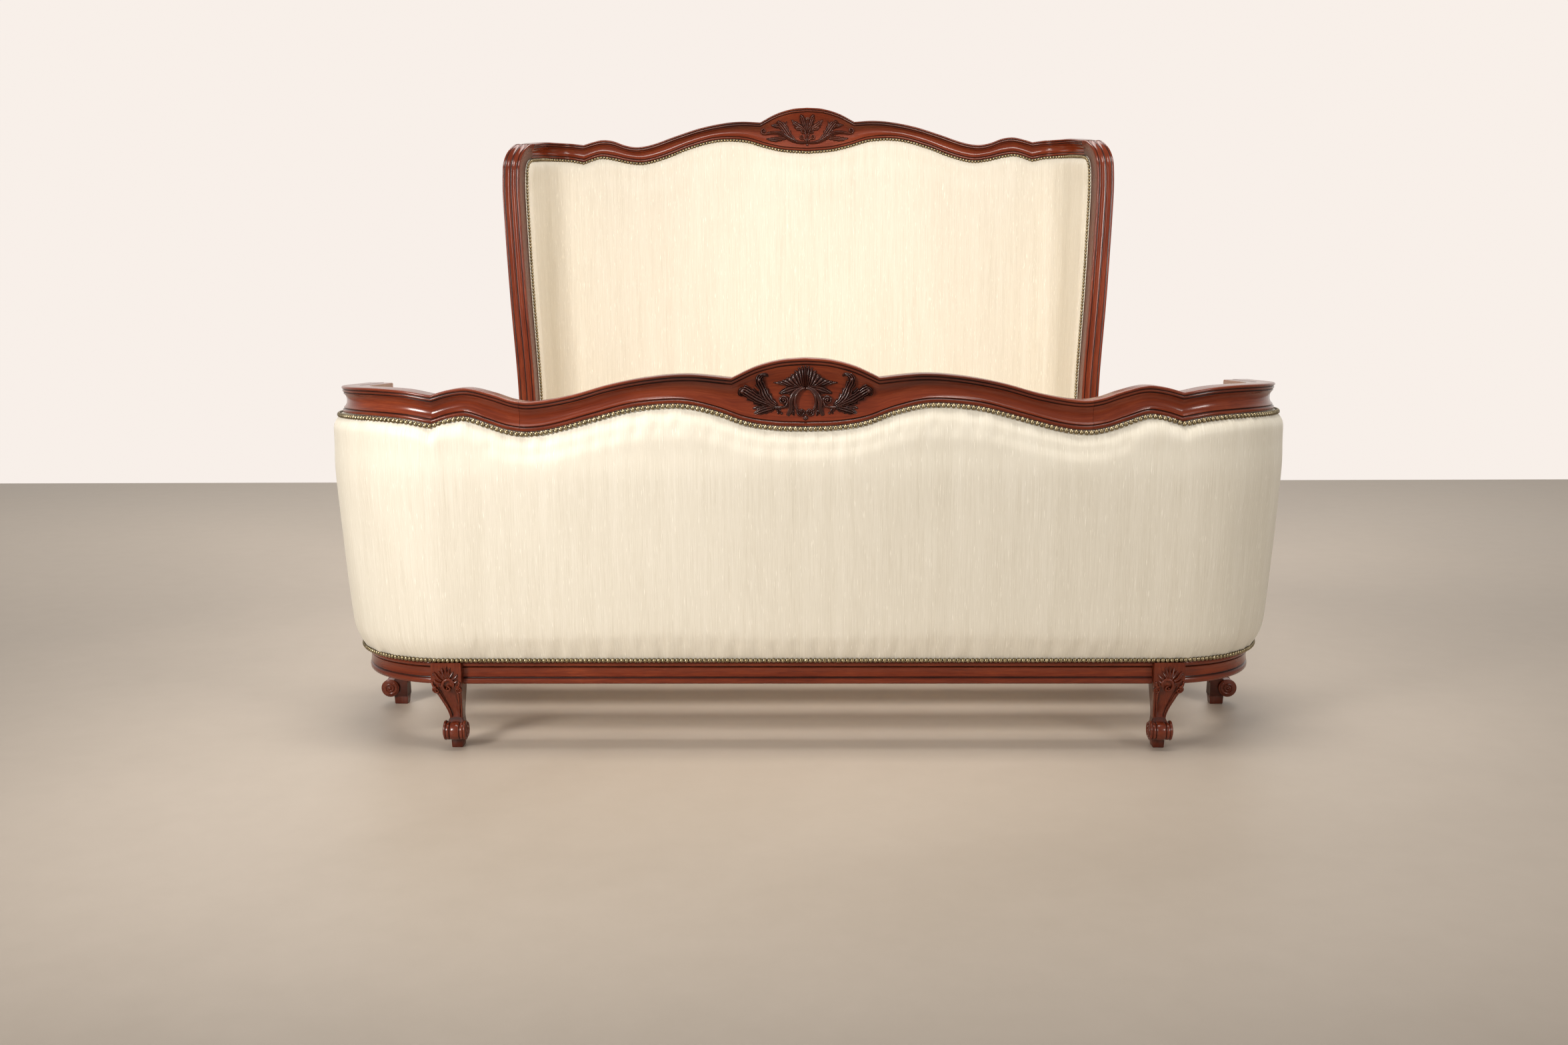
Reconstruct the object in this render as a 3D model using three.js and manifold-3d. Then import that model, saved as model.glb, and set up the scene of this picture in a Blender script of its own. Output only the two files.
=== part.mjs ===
// Upholstered basket bed ("lit corbeille", sold as a sleigh bed) in carved mahogany and slub silk.
// Millimetres, +Z up. The foot end faces -Y, the head end faces +Y, and +X is to the right of
// somebody who stands at the foot and looks along the bed. The origin is on the floor, under the
// middle of the overall box. The bed stands on eight legs and carries a slatted base.
import * as THREE from "three";
import { mergeVertices } from "three/addons/utils/BufferGeometryUtils.js";
import Module from "manifold-3d";

const wasm = await Module();
wasm.setup();

// ---------------------------------------------------------------- driving dimensions
const LENGTH = 2200; // over everything, foot padding to the back of the headboard
const GAP = 0.5; // left between pieces that touch
const TUCK = 1.5; // left between the padding and the wavy rails
const SWELL = 19; // how far the foot padding swells past the lip of the foot's top rail

// Footboard: its lip line in plan is a straight front, a round corner and a short return.
const FOOT_Y = SWELL - LENGTH / 2;
const FOOT_HALF = 1014;
const FOOT_RADIUS = 262;
const FOOT_RETURN = 420;
const FOOT_RAIL_THICK = 58;
const CREST_HALF = 585; // the middle rail is jointed to the corner rails here

// Moulded base rail, which the legs interrupt.
const BASE_TOP = 189;
const BASE_BOTTOM = 140;
const BASE_LIP = -31; // offset of the base rail's lip from the foot's lip line
const BASE_DEPTH = 66;

const LEG_X = 760;
const LEG_HALF = 32.5; // half the width of a leg's knee block

// Headboard: straight back, round corner, wing that opens outwards towards the front.
const HEAD_THICK = 52;
const HEAD_Y = LENGTH / 2 - HEAD_THICK;
const HEAD_CORNER = 850; // where the back's plane and the wing's plane would meet
const HEAD_RADIUS = 100;
const WING_FLARE = THREE.MathUtils.degToRad(14);
const WING_Y = 770; // front face of the wing posts
const POST_DEPTH = 48;
const SHOULDER = 90; // outer radius of the post's curl into the wing's top
const WING_TOP = 1440;

// Side rails and slatted base.
const RAIL_IN = 890;
const RAIL_THICK = 26;
const RAIL_TOP = 345;
const CLEAT = { width: 40, height: 30, top: 205 };
const BAR = { width: 90, height: 45, places: [-480, 60, 600] };
const BASE_HALF = 830; // half the width of the slatted base
const BATTEN = { width: 40, height: 30 };
const SLAT = { count: 10, width: 120, thick: 18, first: -920, last: 985 };

// ---------------------------------------------------------------- plan lines
// A curve through the given [place, value] points.
function smooth(points) {
  const slope = points.map((p, i) => {
    const before = points[Math.max(i - 1, 0)];
    const after = points[Math.min(i + 1, points.length - 1)];
    return (after[1] - before[1]) / (after[0] - before[0]);
  });
  return (x) => {
    let i = 0;
    while (i < points.length - 2 && x > points[i + 1][0]) i++;
    const [x0, z0] = points[i];
    const [x1, z1] = points[i + 1];
    const h = x1 - x0;
    const t = THREE.MathUtils.clamp((x - x0) / h, 0, 1);
    const a = (1 + 2 * t) * (1 - t) ** 2;
    const b = t * (1 - t) ** 2;
    const c = t * t * (3 - 2 * t);
    const d = t * t * (t - 1);
    return a * z0 + b * h * slope[i] + c * z1 + d * h * slope[i + 1];
  };
}

const FOOT_STRAIGHT = FOOT_HALF - FOOT_RADIUS;
const FOOT_ARC = (FOOT_RADIUS * Math.PI) / 2;
const FOOT_END = FOOT_STRAIGHT + FOOT_ARC + FOOT_RETURN - FOOT_RADIUS;
const FOOT_END_Y = FOOT_Y + FOOT_RETURN;

// A point at distance s along the foot's lip line, d outside it.
function footPoint(s, d, z) {
  const a = Math.abs(s);
  const side = Math.sign(s) || 1;
  if (a <= FOOT_STRAIGHT) return [s, FOOT_Y - d, z];
  const t = Math.min((a - FOOT_STRAIGHT) / FOOT_RADIUS, Math.PI / 2);
  const r = FOOT_RADIUS + d;
  const past = Math.max(0, a - FOOT_STRAIGHT - FOOT_ARC);
  return [side * (FOOT_STRAIGHT + r * Math.sin(t)), FOOT_Y + FOOT_RADIUS - r * Math.cos(t) + past, z];
}

const HEAD_TURN = Math.PI / 2 - WING_FLARE;
const HEAD_STRAIGHT = HEAD_CORNER - HEAD_RADIUS * Math.tan(HEAD_TURN / 2);
const HEAD_ARC = HEAD_RADIUS * HEAD_TURN;
const WING_X = HEAD_CORNER + (HEAD_Y - WING_Y) * Math.tan(WING_FLARE);
const ARC_END_Y = HEAD_Y - HEAD_RADIUS * (1 - Math.cos(HEAD_TURN));
const WING_LENGTH = (ARC_END_Y - WING_Y) / Math.cos(WING_FLARE);
const HEAD_END = HEAD_STRAIGHT + HEAD_ARC + WING_LENGTH;
const CURL_END = WING_Y + SHOULDER + GAP; // where a wing's top rail meets its post
const CURL_S = HEAD_END - (CURL_END - WING_Y) / Math.cos(WING_FLARE);

// The wings lean outwards as they rise and curl in at their very top.
const lean = smooth([
  [140, -36], [400, -36], [660, -31], [960, -13], [1260, 0], [1340, -1], [1400, -8], [1440, -22],
]);

// A point at distance s along the headboard's front line, d in front of or inside it.
function headPoint(s, d, z) {
  const a = Math.abs(s);
  const side = Math.sign(s) || 1;
  if (a <= HEAD_STRAIGHT) return [s, HEAD_Y - d, z];
  const t = Math.min((a - HEAD_STRAIGHT) / HEAD_RADIUS, HEAD_TURN);
  const past = Math.max(0, a - HEAD_STRAIGHT - HEAD_ARC);
  const r = HEAD_RADIUS - d;
  const share = Math.min(1, (a - HEAD_STRAIGHT) / (HEAD_END - HEAD_STRAIGHT));
  const x = HEAD_STRAIGHT + r * Math.sin(t) + past * Math.sin(WING_FLARE) + share * lean(z);
  return [side * x, HEAD_Y - HEAD_RADIUS + r * Math.cos(t) - past * Math.cos(WING_FLARE), z];
}

// The same for a point of the wing at a given y.
function wingPoint(side, y, d, z) {
  const past = (ARC_END_Y - y) / Math.cos(WING_FLARE);
  const share = (HEAD_ARC + past) / (HEAD_END - HEAD_STRAIGHT);
  const x = WING_X - (y - WING_Y) * Math.tan(WING_FLARE) - d / Math.cos(WING_FLARE) + share * lean(z);
  return [side * x, y, z];
}

// ---------------------------------------------------------------- outlines of the wavy rails
// Each edge is a height over the distance from the middle: smooth stretches of
// [distance, height] points that meet in notches, the first one being the crest.
function edge(...stretches) {
  const curves = stretches.map(smooth);
  const ends = stretches.map((points) => points[points.length - 1][0]);
  return (s) => {
    const x = Math.abs(s);
    const i = ends.findIndex((end) => x <= end);
    return curves[i < 0 ? curves.length - 1 : i](x);
  };
}

const footTop = edge(
  [[0, 828], [50, 824], [100, 811], [150, 788]],
  [
    [150, 788], [240, 796], [320, 790], [400, 775], [480, 753], [560, 740], [600, 744], [640, 757],
    [690, 769], [730, 765], [766, 755],
  ],
  [[766, 755], [840, 765], [940, 767], [1320, 758]],
);
const footBottom = edge(
  [
    [0, 688], [60, 690], [120, 699], [180, 720], [240, 734], [290, 735], [360, 727], [440, 706], [520, 685],
    [570, 679], [610, 684], [650, 697], [695, 711], [730, 707], [766, 696],
  ],
  [[766, 696], [830, 706], [940, 709], [1320, 703]],
);
const headTop = edge(
  [[0, 1570], [50, 1566], [105, 1550], [157, 1523]],
  [
    [157, 1523], [220, 1526], [280, 1521], [360, 1505], [440, 1480], [520, 1453], [570, 1445],
    [610, 1451], [650, 1465], [685, 1469], [720, 1462], [750, 1453],
  ],
  [[750, 1453], [800, 1458], [900, 1456], [CURL_S, WING_TOP]],
);
const headBottom = edge(
  [
    [0, 1428], [80, 1434], [140, 1447], [200, 1464], [260, 1469], [320, 1464], [400, 1442], [480, 1412],
    [550, 1395], [600, 1399], [650, 1410], [690, 1415], [720, 1408], [750, 1397],
  ],
  [[750, 1397], [800, 1405], [900, 1403], [CURL_S, WING_TOP - POST_DEPTH]],
);

// Places along each line where the sections are drawn, shared by pieces that touch.
const FOOT_PLACES = [
  0, 50, 100, 150, 195, 240, 300, 360, 420, 480, 530, 585, 625, 655, 690, 728, 766, 793,
  ...[1, 2, 3, 4, 5, 6, 7].map((i) => 793 + ((FOOT_STRAIGHT + FOOT_ARC - 793) * i) / 7),
];
const HEAD_PLACES = [
  0, 50, 100, 157, 210, 260, 320, 380, 440, 500, 560, 605, 650, 685, 720, 750,
  ...[0, 1, 2, 3, 4].map((i) => HEAD_STRAIGHT + (HEAD_ARC * i) / 4),
];
const bothWays = (list) => [...list.map((s) => -s).reverse(), ...list.filter((s) => s > 0)];
const within = (list, from, to) => [from, ...list.filter((s) => s > from && s < to), to];

// ---------------------------------------------------------------- solids
// Triangles over a closed ring of points that lie nearly in one plane.
function capTriangles(ring) {
  const points = ring.map((p) => new THREE.Vector3(...p));
  const normal = new THREE.Vector3();
  points.forEach((p, i) => normal.add(p.clone().cross(points[(i + 1) % points.length])));
  const across = points[1].clone().sub(points[0]).cross(normal).normalize();
  const along = normal.clone().cross(across).normalize();
  const flat = points.map((p) => new THREE.Vector2(p.dot(along), p.dot(across)));
  return THREE.ShapeUtils.triangulateShape(flat, []);
}

// A closed skin over rings with the same number of points, with flat ends.
function loft(rings) {
  const n = rings[0].length;
  const last = (rings.length - 1) * n;
  const faces = [];
  for (let i = 0; i < rings.length - 1; i++) {
    for (let j = 0; j < n; j++) {
      const a = i * n + j;
      const b = i * n + ((j + 1) % n);
      faces.push([a, b, b + n], [a, b + n, a + n]);
    }
  }
  const turned = (f) => [f[0], f[2], f[1]];
  const ends = [rings[0], rings[rings.length - 1]].map((ring, end) => {
    const cap = capTriangles(ring);
    // A cap's edge 0-1 must run against the wall's, so look at which way its triangle runs.
    const first = cap.find((f) => f.includes(0) && f.includes(1));
    const forward = (first.indexOf(0) + 1) % 3 === first.indexOf(1);
    const right = forward === (end === 1) ? cap : cap.map(turned);
    return right.map((f) => f.map((v) => v + end * last));
  });
  let all = [...faces, ...ends.flat()];
  const vertices = rings.flat();
  const volume = all.reduce((sum, f) => {
    const [a, b, c] = f.map((v) => new THREE.Vector3(...vertices[v]));
    return sum + a.dot(b.cross(c));
  }, 0);
  if (volume < 0) all = all.map(turned);
  const geometry = new THREE.BufferGeometry();
  geometry.setAttribute("position", new THREE.Float32BufferAttribute(vertices.flat(), 3));
  geometry.setIndex(all.flat());
  geometry.computeVertexNormals();
  return geometry;
}

function box(x0, x1, y0, y1, z0, z1) {
  const geometry = new THREE.BoxGeometry(x1 - x0, y1 - y0, z1 - z0);
  return geometry.translate((x0 + x1) / 2, (y0 + y1) / 2, (z0 + z1) / 2);
}

function toSolid(geometry) {
  const bare = geometry.clone();
  const extra = Object.keys(bare.attributes).filter((name) => name !== "position");
  extra.forEach((name) => bare.deleteAttribute(name));
  const merged = mergeVertices(bare, 1e-3);
  const vertProperties = merged.attributes.position.array;
  const triVerts = new Uint32Array(merged.index.array);
  return new wasm.Manifold(new wasm.Mesh({ numProp: 3, vertProperties, triVerts }));
}

function toGeometry(solid) {
  const mesh = solid.getMesh();
  const geometry = new THREE.BufferGeometry();
  geometry.setAttribute("position", new THREE.BufferAttribute(mesh.vertProperties, 3));
  geometry.setIndex(new THREE.BufferAttribute(mesh.triVerts, 1));
  geometry.computeVertexNormals();
  return geometry;
}

// ---------------------------------------------------------------- materials
function finish(color, roughness, metalness = 0) {
  return new THREE.MeshStandardMaterial({ color, roughness, metalness });
}
const mahogany = finish(0x6e2a1a, 0.32);
const carved = finish(0x3d1a12, 0.38);
const silk = finish(0xe8e0c6, 0.72);
const brass = finish(0xa68b52, 0.35, 1);
const beech = finish(0xc7a26f, 0.65);
const pine = finish(0xd9b98a, 0.7);
const steel = finish(0x8d8f92, 0.4, 1);

const bed = new THREE.Group();

function add(name, geometry, material) {
  const mesh = new THREE.Mesh(geometry, material);
  mesh.name = name;
  bed.add(mesh);
  return mesh;
}

const SIDES = [["left", -1], ["right", 1]];

// ---------------------------------------------------------------- shared sections
const footRing = (s, section) => section.map(([d, z]) => footPoint(s, d, z));
const headRing = (s, section) => section.map(([d, z]) => headPoint(s, d, z));
const wingRing = (side, y, section) => section.map(([d, z]) => wingPoint(side, y, d, z));

// A hollow-faced rail: lips at the top and bottom, a hollow between them, a flat back.
function hollowRail(low, high, thick) {
  const hollow = 9;
  return [
    [0, low], [0, low + 8], [-hollow, low + 20], [-hollow, high - 20],
    [0, high - 9], [0, high], [-thick, high], [-thick, low],
  ];
}

// Moulded base rail: a rounded lip, a flat face and a bead below it.
function baseRail(lip, back) {
  return [
    [lip - 3, BASE_TOP], [lip, BASE_TOP - 4], [lip - 1, BASE_TOP - 12], [lip - 7, BASE_TOP - 15],
    [lip - 9, BASE_BOTTOM + 13], [lip - 5, BASE_BOTTOM + 10], [lip - 6, BASE_BOTTOM],
    [back, BASE_BOTTOM], [back, BASE_TOP],
  ];
}

// A row of dome-headed nails, drawn as a low band on the slope that runs from one point to another.
function nailBand(from, to) {
  const start = new THREE.Vector2(...from);
  const along = new THREE.Vector2(...to).sub(start).normalize();
  const out = new THREE.Vector2(Math.abs(along.y), -Math.sign(along.y) * along.x);
  const at = (u, v) => start.clone().addScaledVector(along, u).addScaledVector(out, v).toArray();
  return [at(1.5, 0.5), at(6, 3.5), at(10.5, 0.5)];
}

// A flat oval of carving with pointed ends, from depth d0 to d1 in front of the rail.
function carving(half, middle, height, d0, d1, y) {
  const outline = [
    [-1, 0.05], [-0.62, 0.6], [-0.3, 0.35], [0, 1], [0.3, 0.35], [0.62, 0.6],
    [1, 0.05], [0.72, -0.6], [0.3, -0.75], [0, -1], [-0.3, -0.75], [-0.72, -0.6],
  ];
  return loft([d0, d1].map((d) => outline.map(([u, v]) => [u * half, y - d, middle + v * height])));
}

// ---------------------------------------------------------------- footboard
// Offset of the padding's outer surface from the lip line over its height.
const footPad = smooth([
  [190, -29], [231, -10], [254, -5], [321, 1], [411, 8], [500, 14], [588, SWELL], [640, 18],
]);
const PAD_END = FOOT_END - 30 - GAP;

function footboard() {
  const section = (s) => hollowRail(footBottom(s), footTop(s), FOOT_RAIL_THICK);
  const rail = (list) => loft(list.map((s) => footRing(s, section(s))));
  add("foot_crest_rail", rail(bothWays(FOOT_PLACES.filter((s) => s <= CREST_HALF))), mahogany);
  for (const [name, side] of SIDES) {
    const along = [CREST_HALF + GAP, ...FOOT_PLACES.filter((s) => s > CREST_HALF), PAD_END, FOOT_END];
    add(`foot_top_rail_${name}`, rail(along.map((s) => side * s)), mahogany);
  }
  add("foot_carving", carving(135, 757, 48, -8.5, 8, FOOT_Y), carved);

  // Base rail between and beyond the front legs.
  const base = baseRail(BASE_LIP, BASE_LIP - BASE_DEPTH);
  const clear = LEG_HALF + GAP;
  add("foot_base_rail", loft([clear - LEG_X, LEG_X - clear].map((s) => footRing(s, base))), mahogany);
  for (const [name, side] of SIDES) {
    const start = base.map(([d, z]) => {
      const x = LEG_X + clear;
      const turn = Math.asin((x - FOOT_STRAIGHT) / (FOOT_RADIUS + d));
      return [side * x, FOOT_Y + FOOT_RADIUS - (FOOT_RADIUS + d) * Math.cos(turn), z];
    });
    const along = [...FOOT_PLACES.filter((s) => s > LEG_X + 60), FOOT_END - 2 * clear];
    add(`foot_base_corner_${name}`, loft([start, ...along.map((s) => footRing(side * s, base))]), mahogany);
  }

  // Padding outside, frame in the middle, padding inside.
  const all = bothWays([...FOOT_PLACES, PAD_END]);
  const skin = (shape) => loft(all.map((s) => footRing(s, shape(footBottom(s) - TUCK, BASE_TOP + GAP))));
  add("foot_outer_upholstery", skin((high, low) => [
    [-29, low], [footPad(231), 231], [footPad(321), 321], [footPad(500), 500],
    [SWELL, 600], [17, high - 25], [3, high], [-26, high], [-50, low],
  ]), silk);
  add("foot_frame", skin((high, low) => [
    [-26 - GAP, high], [-50 - GAP, low], [-74, low], [-46, high],
  ]), beech);
  add("foot_inner_upholstery", skin((high, low) => [
    [-58, high], [-76, high - 40], [-87, 400], [-90, low + 25], [-86, low],
    [-74 - GAP, low], [-46 - GAP, high],
  ]), silk);
  add("foot_nails_top", skin((high) => nailBand([3, high], [17, high - 25])), brass);
  add("foot_nails_bottom", skin((high, low) => nailBand([-29, low], [footPad(231), 231])), brass);

  // Posts that close the ends of the returns and carry the side rails.
  for (const [name, side] of SIDES) {
    const top = footBottom(FOOT_END) - GAP;
    const rows = [[BASE_TOP + GAP, -124, -33], [330, -124, -3], [500, -100, 10], [640, -80, 8], [top, -60, -2]];
    const y0 = FOOT_END_Y - 30;
    const y1 = FOOT_END_Y;
    const post = loft(rows.map(([z, inner, outer]) => [[inner, y0], [outer, y0], [outer, y1], [inner, y1]]
      .map(([d, y]) => [side * (FOOT_HALF + d), y, z])));
    add(`foot_end_post_${name}`, pocketed(post, side, FOOT_END_Y, -1), mahogany);
  }
}

// ---------------------------------------------------------------- legs
// Console leg: knee block, hollow shin, scroll and a small block foot. It faces -Y, its origin is on
// the floor under the base rail's lip, and towards the floor it drifts sideways as it narrows.
// Each row is height, half width, front, back, drift.
function consoleLeg(flip) {
  const rows = [
    [0, 12, 7, 38, 14], [19, 12.5, 6, 41, 14], [20.5, 23.5, -8, 41, 14], [39, 24, -20, 42, 14],
    [57, 23.5, -8, 42, 13], [62, 13.5, 12, 42, 12], [85, 17, 10, 44, 10], [112, 24, 0, 47, 5],
    [140, 31.5, -11, 50, 0], [150, LEG_HALF, -12, 50, 0], [BASE_TOP, LEG_HALF, -12, 50, 0],
  ];
  return loft(rows.map(([z, half, front, back, drift]) => {
    const x0 = flip * drift - half;
    const x1 = flip * drift + half;
    return [[x0, front, z], [x1, front, z], [x1, back, z], [x0, back, z]];
  }));
}

function addLeg(name, x, y, quarterTurns, flip) {
  const leg = add(name, consoleLeg(flip), mahogany);
  leg.position.set(x, y, 0);
  leg.rotation.z = (quarterTurns * Math.PI) / 2;
}

function legs() {
  for (const [name, side] of SIDES) {
    addLeg(`foot_leg_front_${name}`, side * LEG_X, FOOT_Y - BASE_LIP, 0, -side);
    addLeg(`foot_leg_corner_${name}`, side * (FOOT_HALF + BASE_LIP), FOOT_END_Y - LEG_HALF, side, side);
    addLeg(`head_leg_front_${name}`, side * 936, WING_Y + LEG_HALF, side, side);
    // Rear legs are plain and taper towards the floor.
    const row = (z, half, deep) => [[-half, 2], [half, 2], [half, deep], [-half, deep]]
      .map(([x, y]) => [side * 700 + x, HEAD_Y + y, z]);
    add(`head_leg_rear_${name}`, loft([row(0, 20, 42), row(BASE_BOTTOM - GAP, 28, 50)]), mahogany);
  }
}

// ---------------------------------------------------------------- headboard
function headboard() {
  const section = (s) => hollowRail(headBottom(s), headTop(s), HEAD_THICK);
  const joint = 560;
  const crest = bothWays(HEAD_PLACES.filter((s) => s <= joint));
  add("head_crest_rail", loft(crest.map((s) => headRing(s, section(s)))), mahogany);
  for (const [name, side] of SIDES) {
    const beyond = [joint + GAP, ...HEAD_PLACES.filter((s) => s > joint)];
    const along = beyond.map((s) => headRing(side * s, section(s)));
    add(`head_top_rail_${name}`, loft([...along, wingRing(side, CURL_END, section(CURL_S))]), mahogany);
  }
  add("head_carving", carving(160, 1499, 49, -8.5, 8, HEAD_Y), carved);
  for (const [name, side] of SIDES) {
    add(`head_wing_post_${name}`, pocketed(wingPost(side), side, WING_Y, 1), mahogany);
  }

  // Base: a straight rail behind, and a moulded rail round each corner.
  const cut = 760;
  const straight = [[0, BASE_BOTTOM], [0, BASE_TOP], [-HEAD_THICK, BASE_TOP], [-HEAD_THICK, BASE_BOTTOM]];
  add("head_base_rail", loft([-cut, cut].map((s) => headRing(s, straight))), mahogany);
  const moulded = baseRail(HEAD_THICK, 0).map(([d, z]) => [-d, z]);
  for (const [name, side] of SIDES) {
    const rings = [cut + GAP, ...HEAD_PLACES.filter((s) => s > cut)].map((s) => headRing(side * s, moulded));
    const end = wingRing(side, WING_Y + 2 * LEG_HALF + GAP, moulded);
    add(`head_base_corner_${name}`, loft([...rings, end]), mahogany);
  }

  // Padding in front, frame in the middle, cover behind. Under the curl of a post they drop with it.
  const back = WING_Y + POST_DEPTH + GAP;
  const underCurl = [[CURL_END, WING_TOP - POST_DEPTH], [back + 20, 1374], [back, WING_TOP - SHOULDER - 2]];
  const skin = (shape) => {
    const at = (high) => shape(high - GAP, BASE_TOP + GAP);
    const middle = bothWays(HEAD_PLACES).map((s) => headRing(s, at(headBottom(s))));
    const ends = (side) => underCurl.map(([y, high]) => wingRing(side, y, at(high)));
    return loft([...ends(-1).reverse(), ...middle, ...ends(1)]);
  };
  add("head_inner_upholstery", skin((high, low) => [
    [-4, high], [9, high - 28], [14, 900], [13, 300], [4, low + 8], [-2, low], [-15, low], [-15, high],
  ]), silk);
  add("head_frame", skin((high, low) => [[-15 - GAP, low], [-15 - GAP, high], [-38, high], [-38, low]]), beech);
  add("head_outer_upholstery", skin((high, low) => [
    [-38 - GAP, high], [-38 - GAP, low], [2 - HEAD_THICK, low], [2 - HEAD_THICK, high],
  ]), silk);
  const nails = bothWays(HEAD_PLACES).map((s) => {
    const high = headBottom(s) - GAP;
    return headRing(s, nailBand([-4, high], [9, high - 28]));
  });
  add("head_nails", loft(nails), brass);
}

// Front post of a wing: upright, then curled back into the wing's top.
function wingPost(side) {
  const faces = [0, -HEAD_THICK];
  const quad = (front, rear) => [...faces.map((d) => front(d)), ...[...faces].reverse().map((d) => rear(d))];
  const upright = [BASE_TOP + GAP, 400, 660, 960, 1260, WING_TOP - SHOULDER].map((z) => quad(
    (d) => wingPoint(side, WING_Y, d, z),
    (d) => wingPoint(side, WING_Y + POST_DEPTH, d, z),
  ));
  const curl = [1, 2, 3, 4].map((i) => {
    const angle = (i * Math.PI) / 8;
    const at = (radius) => (d) => wingPoint(
      side, WING_Y + SHOULDER - radius * Math.cos(angle), d, WING_TOP - SHOULDER + radius * Math.sin(angle),
    );
    return quad(at(SHOULDER), at(SHOULDER - POST_DEPTH));
  });
  return loft([...upright, ...curl]);
}

// ---------------------------------------------------------------- side rails and their hooks
const HOOK = { x: RAIL_IN + RAIL_THICK / 2, low: 205, high: 335, plate: 3, reach: 18, drops: [225, 290] };

// A post with the mortise that a rail's hooks drop into. Inwards is -Y at the foot, +Y at the head.
function pocketed(geometry, side, y, inwards) {
  const x = side * HOOK.x;
  const deep = y + inwards * (HOOK.reach + 5);
  const mouth = y - inwards * 5;
  const pocket = box(x - 5, x + 5, Math.min(deep, mouth), Math.max(deep, mouth), HOOK.low + 4, HOOK.high - 8);
  return toGeometry(toSolid(geometry).subtract(toSolid(pocket)));
}

// End plate with two hooks that point down behind the post's face.
function railHook(side, y, inwards) {
  const x = side * HOOK.x;
  const slab = (x0, x1, y0, y1, z0, z1) => toSolid(box(x0, x1, Math.min(y0, y1), Math.max(y0, y1), z0, z1));
  const face = y - inwards * GAP;
  let hook = slab(x - 11, x + 11, face, face - inwards * HOOK.plate, HOOK.low, HOOK.high);
  for (const z of HOOK.drops) {
    hook = hook.add(slab(x - 2.5, x + 2.5, face - inwards, y + inwards * HOOK.reach, z + 8, z + 24));
    hook = hook.add(slab(x - 2.5, x + 2.5, y + inwards * (HOOK.reach - 9), y + inwards * HOOK.reach, z - 8, z + 16));
  }
  return toGeometry(hook);
}

function sideRails() {
  const clear = HOOK.plate + 2 * GAP;
  const y0 = FOOT_END_Y + clear;
  const y1 = WING_Y - clear;
  const run = (side, section, a, b) => loft([a, b].map((y) => section.map(([x, z]) => [side * x, y, z])));
  const out = RAIL_IN + RAIL_THICK;
  const board = [
    [RAIL_IN, RAIL_TOP], [out, RAIL_TOP], [out, BASE_TOP], [out + 14, BASE_TOP], [out + 17, BASE_TOP - 4],
    [out + 16, BASE_TOP - 12], [out + 10, BASE_TOP - 15], [out + 8, BASE_BOTTOM + 13],
    [out + 12, BASE_BOTTOM + 10], [out + 11, BASE_BOTTOM], [RAIL_IN, BASE_BOTTOM],
  ];
  const pad = [
    [RAIL_IN, RAIL_TOP + GAP], [out + GAP, RAIL_TOP + GAP], [out + GAP, BASE_TOP + GAP], [out + 5, BASE_TOP + GAP],
    [out + 9, BASE_TOP + 20], [out + 10, RAIL_TOP - 20], [out + 6, RAIL_TOP + 4],
    [out - 4, RAIL_TOP + 9], [RAIL_IN, RAIL_TOP + 8],
  ];
  for (const [name, side] of SIDES) {
    add(`side_rail_${name}`, run(side, board, y0, y1), mahogany);
    add(`side_upholstery_${name}`, run(side, pad, y0, y1), silk);
    const x0 = side * (RAIL_IN - GAP);
    const x1 = side * (RAIL_IN - GAP - CLEAT.width);
    const [near, far] = [Math.min(x0, x1), Math.max(x0, x1)];
    add(`side_cleat_${name}`, box(near, far, y0 + 6, y1 - 6, CLEAT.top - CLEAT.height, CLEAT.top), beech);
    add(`foot_rail_hook_${name}`, railHook(side, FOOT_END_Y, -1), steel);
    add(`head_rail_hook_${name}`, railHook(side, WING_Y, 1), steel);
  }
}

// ---------------------------------------------------------------- slatted base
function slattedBase() {
  const barLow = CLEAT.top + GAP;
  const battenLow = barLow + BAR.height + GAP;
  const slatLow = battenLow + BATTEN.height + GAP;
  const barHalf = RAIL_IN - 3;
  BAR.places.forEach((y, i) => {
    const bar = box(-barHalf, barHalf, y - BAR.width / 2, y + BAR.width / 2, barLow, barLow + BAR.height);
    add(`cross_bar_${i + 1}`, bar, pine);
  });
  for (const [name, side] of SIDES) {
    const x0 = side * BASE_HALF;
    const x1 = side * (BASE_HALF - BATTEN.width);
    const [near, far] = [Math.min(x0, x1), Math.max(x0, x1)];
    const batten = box(near, far, SLAT.first, SLAT.last, battenLow, battenLow + BATTEN.height);
    add(`base_batten_${name}`, batten, pine);
  }
  for (let i = 0; i < SLAT.count; i++) {
    const y = SLAT.first + ((SLAT.last - SLAT.width - SLAT.first) * i) / (SLAT.count - 1);
    const slat = box(-BASE_HALF, BASE_HALF, y, y + SLAT.width, slatLow, slatLow + SLAT.thick);
    add(`slat_${String(i + 1).padStart(2, "0")}`, slat, pine);
  }
}

footboard();
legs();
headboard();
sideRails();
slattedBase();

export default bed;
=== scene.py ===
# Upholstered basket bed in carved mahogany and slub silk, with domed brass nails.
# Lengths are millimetres until a mesh is made, then metres. Frame as in the CAD: +Z up, the foot
# end faces -Y, the head end faces +Y, origin on the floor under the middle of the box.
import math
import random

import bmesh
import bpy
import numpy as np
from mathutils import Matrix, Vector


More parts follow.
